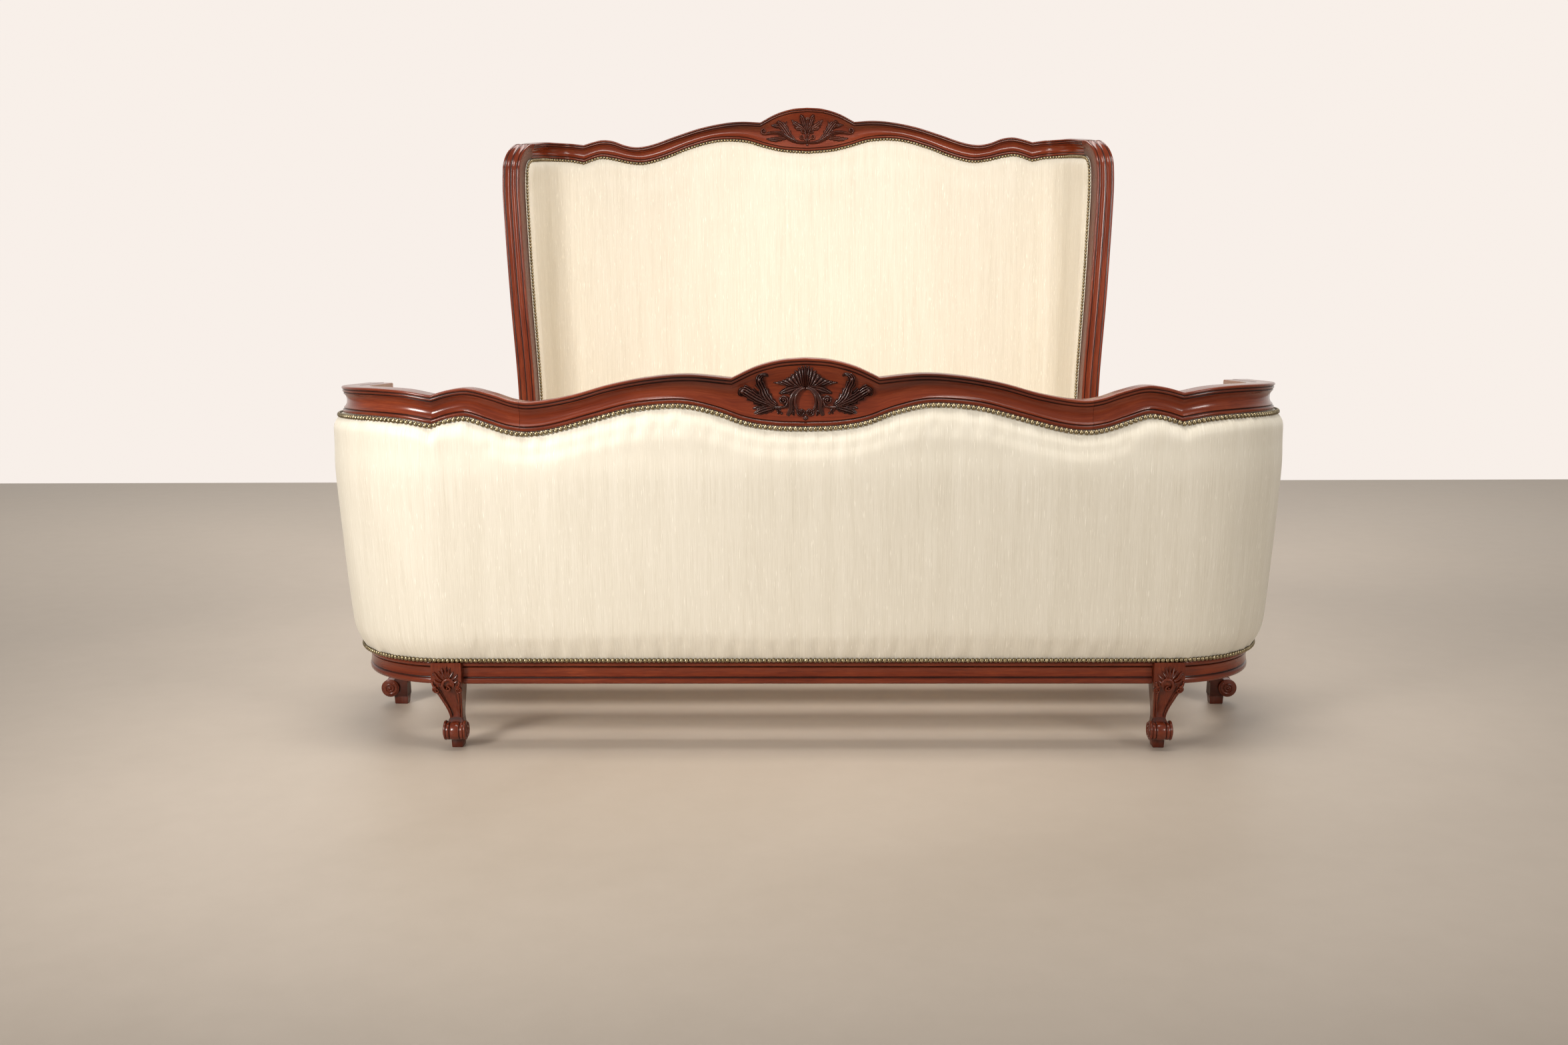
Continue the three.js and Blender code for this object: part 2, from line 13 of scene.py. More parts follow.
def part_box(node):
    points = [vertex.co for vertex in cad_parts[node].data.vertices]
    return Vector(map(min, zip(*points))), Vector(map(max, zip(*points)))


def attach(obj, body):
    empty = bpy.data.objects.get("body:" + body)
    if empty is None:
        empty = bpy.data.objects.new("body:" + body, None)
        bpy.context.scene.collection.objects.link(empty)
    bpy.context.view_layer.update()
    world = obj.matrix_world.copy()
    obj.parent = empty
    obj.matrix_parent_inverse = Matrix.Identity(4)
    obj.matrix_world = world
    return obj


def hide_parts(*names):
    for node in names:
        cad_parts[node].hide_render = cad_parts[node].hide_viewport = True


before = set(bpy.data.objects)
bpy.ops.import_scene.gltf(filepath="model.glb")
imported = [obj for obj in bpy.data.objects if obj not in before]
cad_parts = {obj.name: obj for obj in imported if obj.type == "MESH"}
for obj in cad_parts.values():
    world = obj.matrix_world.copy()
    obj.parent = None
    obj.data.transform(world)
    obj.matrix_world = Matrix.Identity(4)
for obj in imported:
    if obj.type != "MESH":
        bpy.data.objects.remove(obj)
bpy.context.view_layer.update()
MM = 0.001
rng = random.Random(7)

# ---------------------------------------------------------------- the CAD's plan and outlines
# GAP is left between neighbours, and TUCK is how far the foot's paddings stop below their rail. A
# STEP and a CUSP are where the outline of an end has a corner, measured from its middle.
GAP, TUCK = 0.5, 1.5
FOOT_HALF, FOOT_RADIUS, FOOT_RETURN, FOOT_THICK = 1014, 262, 420, 58
FOOT_CREST_HALF, FOOT_STEP, FOOT_CUSP = 585, 150, 766
HEAD_CORNER, HEAD_RADIUS, HEAD_THICK = 850, 100, 52
HEAD_CREST_HALF, HEAD_STEP, HEAD_CUSP = 560, 157, 750
BASE_TOP, BASE_BOTTOM, BASE_LIP, BASE_DEPTH = 189, 140, -31, 66
LEG_X, HEAD_LEG_X, LEG_HALF, HEAD_BASE_HALF = 760, 936, 32.5, 760
WING_FLARE, WING_Y, WING_TOP = math.radians(14), 770, 1440
POST_DEPTH, SHOULDER = 48, 90
RAIL_IN, RAIL_OUT, RAIL_LINE, RAIL_TOP = 890, 916, 964, 345
RAIL_ENDS = 4  # between a side rail and the posts at its ends

foot_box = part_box("foot_crest_rail")
FOOT_Y = foot_box[0].y / MM
HEAD_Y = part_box("head_crest_rail")[1].y / MM - HEAD_THICK
FOOT_STRAIGHT = FOOT_HALF - FOOT_RADIUS
FOOT_ARC = FOOT_RADIUS * math.pi / 2
FOOT_END = FOOT_STRAIGHT + FOOT_ARC + FOOT_RETURN - FOOT_RADIUS
FOOT_END_Y = FOOT_Y + FOOT_RETURN
PAD_END = FOOT_END - 30 - GAP
HEAD_TURN = math.pi / 2 - WING_FLARE
HEAD_STRAIGHT = HEAD_CORNER - HEAD_RADIUS * math.tan(HEAD_TURN / 2)
HEAD_ARC = HEAD_RADIUS * HEAD_TURN
WING_X = HEAD_CORNER + (HEAD_Y - WING_Y) * math.tan(WING_FLARE)
ARC_END_Y = HEAD_Y - HEAD_RADIUS * (1 - math.cos(HEAD_TURN))
HEAD_END = HEAD_STRAIGHT + HEAD_ARC + (ARC_END_Y - WING_Y) / math.cos(WING_FLARE)
CURL_END = WING_Y + SHOULDER + GAP
CURL_S = HEAD_END - (CURL_END - WING_Y) / math.cos(WING_FLARE)
PAD_LOW = BASE_TOP + GAP
SIDES = (("left", -1), ("right", 1))


def smooth(points):
    """A curve through [place, value] points, with the slopes that the CAD uses."""
    xs = [p[0] for p in points]
    last = len(points) - 1
    slope = []
    for i in range(len(points)):
        before, after = points[max(i - 1, 0)], points[min(i + 1, last)]
        slope.append((after[1] - before[1]) / (after[0] - before[0]))

    def at(x):
        i = 0
        while i < last - 1 and x > xs[i + 1]:
            i += 1
        h = xs[i + 1] - xs[i]
        t = min(max((x - xs[i]) / h, 0), 1)
        return (
            (1 + 2 * t) * (1 - t) ** 2 * points[i][1]
            + t * (1 - t) ** 2 * h * slope[i]
            + t * t * (3 - 2 * t) * points[i + 1][1]
            + t * t * (t - 1) * h * slope[i + 1]
        )

    return at


def edge(*stretches):
    """A mirrored edge height over the distance from the middle, with a notch between stretches."""
    curves = [smooth(points) for points in stretches]
    ends = [points[-1][0] for points in stretches]

    def at(s):
        x = abs(s)
        for curve, end in zip(curves, ends):
            if x <= end:
                return curve(x)
        return curves[-1](x)

    return at


foot_top = edge(
    [[0, 828], [50, 824], [100, 811], [FOOT_STEP, 788]],
    [[FOOT_STEP, 788], [240, 796], [320, 790], [400, 775], [480, 753], [560, 740], [600, 744], [640, 757],
     [690, 769], [730, 765], [FOOT_CUSP, 755]],
    [[FOOT_CUSP, 755], [840, 765], [940, 767], [1320, 758]],
)
foot_bottom = edge(
    [[0, 688], [60, 690], [120, 699], [180, 720], [240, 734], [290, 735], [360, 727], [440, 706],
     [520, 685], [570, 679], [610, 684], [650, 697], [695, 711], [730, 707], [FOOT_CUSP, 696]],
    [[FOOT_CUSP, 696], [830, 706], [940, 709], [1320, 703]],
)
head_top = edge(
    [[0, 1570], [50, 1566], [105, 1550], [HEAD_STEP, 1523]],
    [[HEAD_STEP, 1523], [220, 1526], [280, 1521], [360, 1505], [440, 1480], [520, 1453], [570, 1445],
     [610, 1451], [650, 1465], [685, 1469], [720, 1462], [HEAD_CUSP, 1453]],
    [[HEAD_CUSP, 1453], [800, 1458], [900, 1456], [CURL_S, WING_TOP]],
)
head_bottom = edge(
    [[0, 1428], [80, 1434], [140, 1447], [200, 1464], [260, 1469], [320, 1464], [400, 1442],
     [480, 1412], [550, 1395], [600, 1399], [650, 1410], [690, 1415], [720, 1408], [HEAD_CUSP, 1397]],
    [[HEAD_CUSP, 1397], [800, 1405], [900, 1403], [CURL_S, WING_TOP - POST_DEPTH]],
)
# Over the height: how far the front edge of a wing leans out, and the foot's outer padding bulges.
lean = smooth([[140, -36], [400, -36], [660, -31], [960, -13], [1260, 0], [1340, -1], [1400, -8],
               [1440, -22]])
foot_belly = smooth([[190, -29], [231, -10], [254, -5], [321, 1], [411, 8], [500, 14], [588, 19],
                     [640, 18]])


def foot_point(s, d, z):
    """A point at distance s along the foot's lip line, d outside it."""
    a, side = abs(s), math.copysign(1, s)
    if a <= FOOT_STRAIGHT:
        return (s, FOOT_Y - d, z)
    t = min((a - FOOT_STRAIGHT) / FOOT_RADIUS, math.pi / 2)
    past = max(0, a - FOOT_STRAIGHT - FOOT_ARC)
    r = FOOT_RADIUS + d
    return (side * (FOOT_STRAIGHT + r * math.sin(t)), FOOT_Y + FOOT_RADIUS - r * math.cos(t) + past, z)


def wing_point(side, y, d, z):
    """A point of a wing, d inside its inner line."""
    past = (ARC_END_Y - y) / math.cos(WING_FLARE)
    share = (HEAD_ARC + past) / (HEAD_END - HEAD_STRAIGHT)
    x = WING_X - (y - WING_Y) * math.tan(WING_FLARE) - d / math.cos(WING_FLARE) + share * lean(z)
    return (side * x, y, z)


def head_point(s, d, z):
    """A point at distance s along the headboard's inner line, d in front of or inside it."""
    a, side = abs(s), math.copysign(1, s)
    if a <= HEAD_STRAIGHT:
        return (s, HEAD_Y - d, z)
    past = max(0, a - HEAD_STRAIGHT - HEAD_ARC)
    if past > 0:
        fade = min(past / 60, 1)
        y = ARC_END_Y - past * math.cos(WING_FLARE) - (1 - fade) * d * math.sin(WING_FLARE)
        return wing_point(side, y, d, z)
    t = (a - HEAD_STRAIGHT) / HEAD_RADIUS
    r = HEAD_RADIUS - d
    share = (a - HEAD_STRAIGHT) / (HEAD_END - HEAD_STRAIGHT)
    x = HEAD_STRAIGHT + r * math.sin(t) + share * lean(z)
    return (side * x, HEAD_Y - HEAD_RADIUS + r * math.cos(t), z)


def places(low, high, step, *marks):
    """Evenly spaced places from low to high, with extra ones close on both sides of each mark."""
    spots = set(np.linspace(low, high, max(2, round((high - low) / step) + 1)).round(3))
    for m in marks:
        if low < m < high:
            spots = {s for s in spots if abs(s - m) > step * 0.45}
            spots |= {m - 1.5, m, m + 1.5}
    return sorted(spots)


def ease(x):
    """0 up to x = 0, 1 from x = 1, and smooth between them."""
    x = min(max(x, 0), 1)
    return x * x * (3 - 2 * x)


# ---------------------------------------------------------------- meshes
def run(points):
    """How far each point is along the line through them."""
    return np.cumsum(np.linalg.norm(np.diff(points, axis=0, prepend=points[:1]), axis=1))


class Part:
    """Points, faces and per-point attributes of one piece, in millimetres."""

    def __init__(self):
        self.points, self.faces, self.age, self.grain = [], [], [], []

    def shell(self, rings, age=None, grain=None):
        """A closed skin over rings of points. The darkness given is 1 where the surface is darkest: dark
        polish in grooves, and painted shade in grooves, recesses and along edges. Without a grain, the first
        number of the grain runs from ring to ring, so that fibres do."""
        rings = np.asarray(rings, float)
        n, m = rings.shape[:2]
        base = len(self.points)
        self.points += [tuple(p) for p in rings.reshape(-1, 3)]
        for i in range(n - 1):
            for j in range(m):
                a, b = base + i * m + j, base + i * m + (j + 1) % m
                self.faces.append((a, b, b + m, a + m))
        self.faces.append(tuple(base + j for j in range(m))[::-1])
        self.faces.append(tuple(base + (n - 1) * m + j for j in range(m)))
        age = np.zeros((n, m)) if age is None else np.broadcast_to(np.asarray(age, float), (n, m))
        self.age += list(age.reshape(-1))
        if grain is None:
            around, along = run(rings[n // 2]), run(rings[:, 0])
            shift = rng.uniform(0, 900)
            grain = [(along[i] + shift, around[j], shift) for i in range(n) for j in range(m)]
        self.grain += [tuple(g) for g in grain]

    def mesh(self, name, sharp=38):
        """A mesh in metres, smooth but for edges that bend more than sharp degrees."""
        mesh = bpy.data.meshes.new(name)
        mesh.from_pydata([Vector(p) * MM for p in self.points], [], self.faces)
        bm = bmesh.new()
        bm.from_mesh(mesh)
        bmesh.ops.recalc_face_normals(bm, faces=bm.faces)
        limit = math.radians(sharp)
        for e in bm.edges:
            e.smooth = not (len(e.link_faces) == 2 and e.calc_face_angle(0) > limit)
        for f in bm.faces:
            f.smooth = True
        bm.to_mesh(mesh)
        bm.free()
        return mesh

    def build(self, name, material, replaces, sharp=38):
        mesh = self.mesh(name, sharp)
        mesh.attributes.new("age", "FLOAT", "POINT").data.foreach_set("value", np.array(self.age, float))
        flat = (np.array(self.grain, float) * MM).reshape(-1)
        mesh.attributes.new("grain", "FLOAT_VECTOR", "POINT").data.foreach_set("vector", flat)
        mesh.materials.append(material)
        piece = bpy.data.objects.new(name, mesh)
        bpy.context.scene.collection.objects.link(piece)
        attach(piece, "root")
        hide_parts(*replaces)
        return piece


# ---------------------------------------------------------------- materials
class Finish:
    """A node material. Inputs given to node() are sockets to link or plain values to set."""

    def __init__(self, name, owner=None):
        self.owner = owner or bpy.data.materials.new(name)
        self.owner.use_nodes = True
        self.tree = self.owner.node_tree
        self.tree.nodes.clear()

    def node(self, kind, output=0, settings=(), **inputs):
        node = self.tree.nodes.new("ShaderNode" + kind)
        for key, value in dict(settings).items():
            setattr(node, key, value)
        for key, value in inputs.items():
            by_number = key[0] == "i" and key[1:].isdigit()
            socket = node.inputs[int(key[1:]) if by_number else key.replace("_", " ")]
            if isinstance(value, bpy.types.NodeSocket):
                self.tree.links.new(value, socket)
            else:
                socket.default_value = value
        return node.outputs[output] if node.outputs else None

    def attribute(self, name, vector=False):
        node = self.tree.nodes.new("ShaderNodeAttribute")
        node.attribute_name = name
        return node.outputs["Vector" if vector else "Fac"]

    def noise(self, where, stretch, scale=1.0, detail=3.0, rough=0.6, bend=0.0):
        place = self.node("Mapping", Vector=where, Scale=stretch)
        return self.node("TexNoise", Vector=place, Scale=scale, Detail=detail, Roughness=rough,
                         Distortion=bend)

    def span(self, value, low, high, to_low=0.0, to_high=1.0, settings=()):
        return self.node("MapRange", settings=settings, Value=value, From_Min=low, From_Max=high,
                         To_Min=to_low, To_Max=to_high)

    def math(self, kind, a, b=0.0):
        return self.node("Math", settings={"operation": kind}, i0=a, i1=b)

    def total(self, *shares):
        """The sum of (value, weight) pairs."""
        terms = [self.math("MULTIPLY", value, weight) for value, weight in shares]
        result = terms[0]
        for term in terms[1:]:
            result = self.math("ADD", result, term)
        return result

    def mix(self, share, a, b):
        return self.node("Mix", 2, {"data_type": "RGBA"}, i0=share, i6=a, i7=b)

    def ramp(self, value, *stops):
        node = self.tree.nodes.new("ShaderNodeValToRGB")
        elements = node.color_ramp.elements
        while len(elements) < len(stops):
            elements.new(0.5)
        for element, (place, colour) in zip(elements, stops):
            element.position = place
            element.color = (*colour, 1)
        self.tree.links.new(value, node.inputs[0])
        return node.outputs[0]

    def surface(self, bump=None, strength=0.3, distance=0.001, **inputs):
        if bump is not None:
            inputs["Normal"] = self.node("Bump", Height=bump, Strength=strength, Distance=distance)
        self.node("OutputMaterial", Surface=self.node("BsdfPrincipled", **inputs))
        return self.owner


def wood(name, tones, coat, rough, along=None, polish_and_shade_colour=None):
    """Wood of dark, middle and light tones. Its fibres run along the mesh's grain attribute, or along
    one axis of the object. The last argument is a dark colour: dark polish in the grooves, and painted shade
    in grooves, recesses and hollows, mixed in where the mesh's darkness attribute is high."""
    f = Finish(name)
    where = f.node("TexCoord", 3) if along else f.attribute("grain", vector=True)
    fine = along or (5, 70, 70)
    fibres = f.noise(where, fine, 4.0, 7.0, 0.66, 0.25)
    pores = f.noise(where, tuple(9 * v if v > 20 else 4 * v for v in fine), 2.2, 3.0, 0.5)
    cloud = f.noise(where, (3.5, 9, 9), 1.6, 3.0, 0.5, 0.4)
    dark, middle, light = tones
    colour = f.ramp(f.total((fibres, 0.62), (cloud, 0.38)), (0.26, dark), (0.5, middle), (0.74, light))
    colour = f.mix(f.span(pores, 0.60, 0.72, 0, 0.35), colour, (*[0.35 * v for v in dark], 1))
    gloss = f.span(cloud, 0.3, 0.7, rough * 0.8, rough * 1.25)
    if polish_and_shade_colour:
        # Dark polish in the grooves, and painted shade in grooves, recesses and under the rails' lips.
        age = f.attribute("age")
        patchy = f.noise(where, (14, 30, 30), 1.0, 4.0)
        dirt_and_shade_share = f.math("MULTIPLY", age, f.span(patchy, 0.25, 0.6, 0.75, 1.0))
        colour = f.mix(dirt_and_shade_share, colour, (*polish_and_shade_colour, 1))
        gloss = f.math("ADD", gloss, f.math("MULTIPLY", age, 0.18))
    return f.surface(f.total((fibres, 0.6), (pores, -0.5)), 0.12, 0.0006, Base_Color=colour,
                     Roughness=gloss, Coat_Weight=coat, Coat_Roughness=0.12, Specular_IOR_Level=0.30)


# The dark colour of polish in grooves, also mixed in as painted shade in grooves and hollows.
DARK_POLISH_AND_SHADE = (0.010, 0.0035, 0.0025)
MAHOGANY = ((0.078, 0.0105, 0.0034), (0.172, 0.0262, 0.0074), (0.285, 0.0540, 0.0150))
CARVED = ((0.014, 0.0040, 0.0030), (0.044, 0.0105, 0.0065), (0.100, 0.024, 0.013))
CARVED_WARM = ((0.030, 0.008, 0.0045), (0.085, 0.018, 0.009), (0.17, 0.040, 0.017))
BEECH = ((0.42, 0.25, 0.13), (0.55, 0.35, 0.19), (0.66, 0.45, 0.26))
PINE = ((0.50, 0.30, 0.13), (0.66, 0.45, 0.23), (0.74, 0.55, 0.31))
mahogany = wood("mahogany_polished", MAHOGANY, 0.26, 0.20, polish_and_shade_colour=DARK_POLISH_AND_SHADE)
carved = wood("mahogany_carved", CARVED, 0.5, 0.24, polish_and_shade_colour=(0.006, 0.003, 0.0025))
carved_warm = wood("mahogany_carved_warm", CARVED_WARM, 0.45, 0.30, polish_and_shade_colour=DARK_POLISH_AND_SHADE)
mahogany_upright = wood("mahogany_upright", MAHOGANY, 0.4, 0.32, (70, 70, 5))
mahogany_level = wood("mahogany_level", MAHOGANY, 0.4, 0.32, (5, 70, 70))
beech = wood("beech_bare", BEECH, 0.0, 0.6, (60, 5, 60))
pine = wood("pine_bare", PINE, 0.0, 0.62, (4, 60, 60))
pine_long = wood("pine_bare_long", PINE, 0.0, 0.62, (60, 4, 60))


def silk_material():
    """Slub silk. The grain attribute's first number runs across the threads, its second along them."""
    f = Finish("slub_silk")
    where = f.attribute("grain", vector=True)
    streaks = f.noise(where, (640, 7, 1))
    broad = f.noise(where, (34, 1.6, 1))
    threads = f.noise(where, (1900, 26, 1), 1.0, 2.0, 0.5)
    slub = f.span(f.noise(where, (520, 36, 1), 1.0, 1.0, 0.5), 0.66, 0.76)
    cross = f.noise(where, (30, 1300, 1), 1.0, 2.0, 0.5)
    colour = f.ramp(f.total((streaks, 0.42), (threads, 0.36), (broad, 0.22)), (0.28, (0.590, 0.535, 0.425)),
                    (0.5, (0.715, 0.665, 0.555)), (0.72, (0.820, 0.775, 0.675)))
    # Painted shade along the pads' lower and upper edges: under the rails and beside the nails.
    colour = f.mix(f.math("MULTIPLY", f.attribute("age"), 0.5), colour, (0.40, 0.365, 0.285, 1))
    colour = f.mix(f.math("MULTIPLY", slub, 0.75), colour, (0.95, 0.905, 0.79, 1))
    return f.surface(
        f.total((streaks, 0.8), (threads, 0.35), (slub, 0.5), (cross, 0.12)), 0.55, 0.0007,
        Base_Color=colour, Roughness=f.span(streaks, 0.3, 0.7, 0.56, 0.44), Sheen_Weight=0.25,
        Sheen_Roughness=0.35, Sheen_Tint=(1.0, 0.97, 0.9, 1.0), Specular_IOR_Level=0.42,
    )


def brass_material():
    f = Finish("antique_brass")
    where = f.node("TexCoord", 3)
    patina = f.noise(where, (90, 90, 90), 2.0, 4.0)
    colour = f.ramp(patina, (0.32, (0.170, 0.128, 0.066)), (0.5, (0.300, 0.240, 0.138)),
                    (0.68, (0.480, 0.405, 0.265)))
    # Darker towards the rim of each dome, where it meets the padding.
    colour = f.mix(f.attribute("age"), colour, (0.045, 0.028, 0.012, 1))
    return f.surface(f.noise(where, (700, 700, 700)), 0.15, 0.0003, Base_Color=colour, Metallic=1.0,
                     Roughness=f.span(patina, 0.3, 0.7, 0.26, 0.42))


def steel_material():
    f = Finish("zinc_plated_steel")
    spangle = f.noise(f.node("TexCoord", 3), (60, 60, 60), 2.0, 4.0)
    colour = f.ramp(spangle, (0.3, (0.34, 0.35, 0.37)), (0.7, (0.58, 0.58, 0.56)))
    return f.surface(spangle, 0.1, 0.0003, Base_Color=colour, Metallic=1.0,
                     Roughness=f.span(spangle, 0.3, 0.7, 0.3, 0.48))


silk = silk_material()
brass = brass_material()
steel = steel_material()

# ---------------------------------------------------------------- moulded rails
def cove(low_v, high_v, rim, deep):
    """Points of a hollow from low_v to high_v; its ends lie at offset rim, its middle at deep."""
    points = []
    for i in range(13):
        t = i / 12
        hollow = 1 - abs(2 * t - 1) ** 2.6
        points.append((rim + (deep - rim) * hollow, low_v + (high_v - low_v) * t, 0.0))
    return points


def rail_section(h, thick):
    """[offset, height above the lower edge, darkness] of a wavy rail h high, all the way round."""
    bead = [(-12, 0, 1), (-3, 0.1, 0.7), (-0.9, 0.9, 0.4), (0.2, 2.6, 0.2), (0.5, 4.6, 0.1),
            (0.0, 6.6, 0.3), (-1.3, 8.0, 0.8), (-3.0, 8.7, 1), (-3.6, 9.3, 1), (-3.0, 10.0, 0.8),
            (-2.5, 10.8, 0.25)]
    # The lip is [offset, depth below the upper edge, darkness].
    lip = [(-2.4, 15.2, 0.25), (-3.0, 14.4, 0.8), (-3.6, 13.7, 1), (-3.0, 13.0, 1), (-1.6, 12.4, 0.5),
           (-0.8, 11.2, 0.1), (-0.5, 9.8, 0.1), (-0.9, 8.4, 0.4), (-2.0, 7.6, 1), (-2.2, 7.0, 1),
           (-1.0, 6.4, 0.6), (0.4, 5.6, 0.2), (1.2, 4.2, 0), (1.2, 2.6, 0), (0.4, 1.1, 0),
           (-1.2, 0.25, 0.1), (-4, 0, 0.2)]
    groove = -0.62 * thick
    top = [(groove, h, 0.1), (groove - 1, h - 0.8, 0.9), (groove - 2, h - 0.9, 0.5),
           (-thick + 3, h - 1, 0.1), (-thick + 1, h - 1.6, 0.1), (-thick, h - 3.6, 0.2),
           (-thick, h * 0.5, 0), (-thick, 3, 0.4), (-thick + 2, 0, 0.8)]
    return bead + cove(11.6, h - 16.2, -2.5, -9) + [(d, h - v, a) for d, v, a in lip] + top


def painted_cove_shade(s, share):
    """Painted shade in the upper part of the hollow, under the lip, strongest beside the crest."""
    beside = math.exp(-(((abs(s) - 235) / 125) ** 2))
    return (0.16 + 0.46 * beside) * ease((share - 0.32) / 0.42)


def wavy_rail(name, stations, end, node):
    """A rail that follows the wavy outlines of one end, ringed at each station along it."""
    point, low, high, thick = end
    part = Part()
    rings, ages = [], []
    for s in stations:
        height = high(s) - low(s)
        section = rail_section(height, thick)
        rings.append([point(s, d, low(s) + v) for d, v, _ in section])
        ages.append([min(1, a + painted_cove_shade(s, v / height)) if d > -10 else a for d, v, a in section])
    part.shell(rings, ages)
    part.build(name, mahogany, [node])


FOOT = (foot_point, foot_bottom, foot_top, FOOT_THICK)
HEAD = (head_point, head_bottom, head_top, HEAD_THICK)
CORNERS = (-FOOT_CUSP, -HEAD_CUSP, -HEAD_STEP, -FOOT_STEP, FOOT_STEP, HEAD_STEP, HEAD_CUSP, FOOT_CUSP)


def base_section(back):
    """[offset, height, darkness] of the base moulding, all the way round."""
    # [behind the lip, height, darkness]
    front = [(8, BASE_BOTTOM, 0.6), (5, 140.6, 0.3), (3.2, 143, 0.1), (2.9, 147, 0), (3.6, 150.6, 0.1),
             (5.2, 152.8, 0.7), (7, 153.6, 1), (7.4, 154.6, 1), (5.8, 155.4, 0.6), (4.6, 156.6, 0.1),
             (5.2, 161, 0), (5.6, 166, 0), (5.2, 171, 0), (4.4, 175, 0.1), (5.6, 176.2, 0.7),
             (6.8, 177, 1), (6.2, 178, 1), (2.6, 178.7, 0.5), (0.8, 180.4, 0.1), (0, 183, 0),
             (0.1, 186, 0), (1.2, 188.2, 0), (3.6, BASE_TOP, 0.2)]
    return [(back, BASE_BOTTOM, 0.3), *((BASE_LIP - d, z, a) for d, z, a in front), (back, BASE_TOP, 0.6)]


def swept(name, point, stations, section, node):
    """A moulding with one section, carried along point(station, offset, height)."""
    part = Part()
    part.shell([[point(s, d, z) for d, z, _ in section] for s in stations],
               [0.14 + 0.86 * a for _, _, a in section])
    part.build(name, mahogany, [node])


def rails():
    def crest(half):
        return places(-half, half, 7, *CORNERS)

    wavy_rail("foot_crest_moulding", crest(FOOT_CREST_HALF), FOOT, "foot_crest_rail")
    wavy_rail("head_crest_moulding", crest(HEAD_CREST_HALF), HEAD, "head_crest_rail")
    clear = LEG_HALF + GAP
    base = base_section(BASE_LIP - BASE_DEPTH)
    swept("foot_base_moulding", foot_point, places(clear - LEG_X, LEG_X - clear, 60), base,
          "foot_base_rail")
    # The head's base moulding faces outwards, on the far side of the line.
    turned = [(-HEAD_THICK - (d - BASE_LIP), z, a) for d, z, a in base_section(BASE_LIP - HEAD_THICK)]
    side_base = base_section(RAIL_IN - RAIL_LINE)[:-2]
    side_base += [(BASE_LIP - 3.6, BASE_TOP, 0.3), (RAIL_OUT - RAIL_LINE, BASE_TOP, 0.6),
                  (RAIL_OUT - RAIL_LINE, RAIL_TOP, 0), (RAIL_IN - RAIL_LINE, RAIL_TOP, 0)]
    for name, side in SIDES:
        def mirrored(low, high, step, *marks):
            return [side * s for s in places(low, high, step, *marks)]

        def beside(y, d, z):
            return (side * (RAIL_LINE + d), y, z)

        wavy_rail("foot_corner_moulding_" + name, mirrored(FOOT_CREST_HALF + GAP, FOOT_END, 7, *CORNERS),
                  FOOT, "foot_top_rail_" + name)
        wavy_rail("head_corner_moulding_" + name, mirrored(HEAD_CREST_HALF + GAP, CURL_S, 7, *CORNERS),
                  HEAD, "head_top_rail_" + name)
        swept("foot_base_corner_moulding_" + name, foot_point,
              mirrored(LEG_X + clear, FOOT_END - 2 * clear, 14), base, "foot_base_corner_" + name)
        head_base_end = HEAD_END - 2 * LEG_HALF / math.cos(WING_FLARE) - 1
        swept("head_base_moulding_" + name, head_point,
              mirrored(HEAD_BASE_HALF + GAP, head_base_end, 12), turned, "head_base_corner_" + name)
        swept("side_moulding_" + name, beside, places(FOOT_END_Y + RAIL_ENDS, WING_Y - RAIL_ENDS, 90),
              side_base, "side_rail_" + name)


def wing_posts():
    """Front posts of the wings: a face with two channels, upright and then curled back."""
    # [share of the thickness from the inner edge, depth behind the face, darkness]
    face = [(0, 4, 0.3), (0.008, 1.6, 0.2), (0.03, 0.3, 0), (0.07, 0, 0), (0.115, 0.4, 0.3),
            (0.135, 1.8, 1), (0.155, 2.2, 1), (0.175, 1.0, 0.5), (0.2, 0.9, 0), (0.26, 2.4, 0),
            (0.33, 3.4, 0), (0.41, 2.6, 0), (0.465, 1.1, 0.2), (0.48, 1.3, 1), (0.5, 2.4, 1),
            (0.52, 1.3, 1), (0.535, 1.1, 0.2), (0.59, 2.6, 0), (0.67, 3.4, 0), (0.74, 2.4, 0),
            (0.8, 0.9, 0), (0.825, 1.0, 0.5), (0.845, 2.2, 1), (0.865, 1.8, 1), (0.885, 0.4, 0.3),
            (0.93, 0, 0), (0.97, 0.3, 0), (0.992, 1.6, 0), (1, 4, 0), (1, 18, 0), (1, 34, 0),
            (1, 47, 0.2), (0.98, 48, 0.4), (0.02, 48, 0.4), (0, 47, 0.8), (0, 30, 0.5), (0, 14, 0.3)]
    # [angle of the curl, height that it starts from]
    stations = [(0, z) for z in np.linspace(PAD_LOW, WING_TOP - SHOULDER, 60)]
    stations += [(i / 14 * math.pi / 2, WING_TOP - SHOULDER) for i in range(1, 15)]
    for name, side in SIDES:
        rings = []
        for curl, z in stations:
            ring = []
            for w, depth, _ in face:
                r = SHOULDER - depth
                y = WING_Y + SHOULDER - r * math.cos(curl)
                ring.append(wing_point(side, y, -HEAD_THICK * w, z + r * math.sin(curl)))
            rings.append(ring)
        part = Part()
        part.shell(rings, [a for _, _, a in face])
        part.build("wing_post_" + name, mahogany, ["head_wing_post_" + name])


rails()
wing_posts()

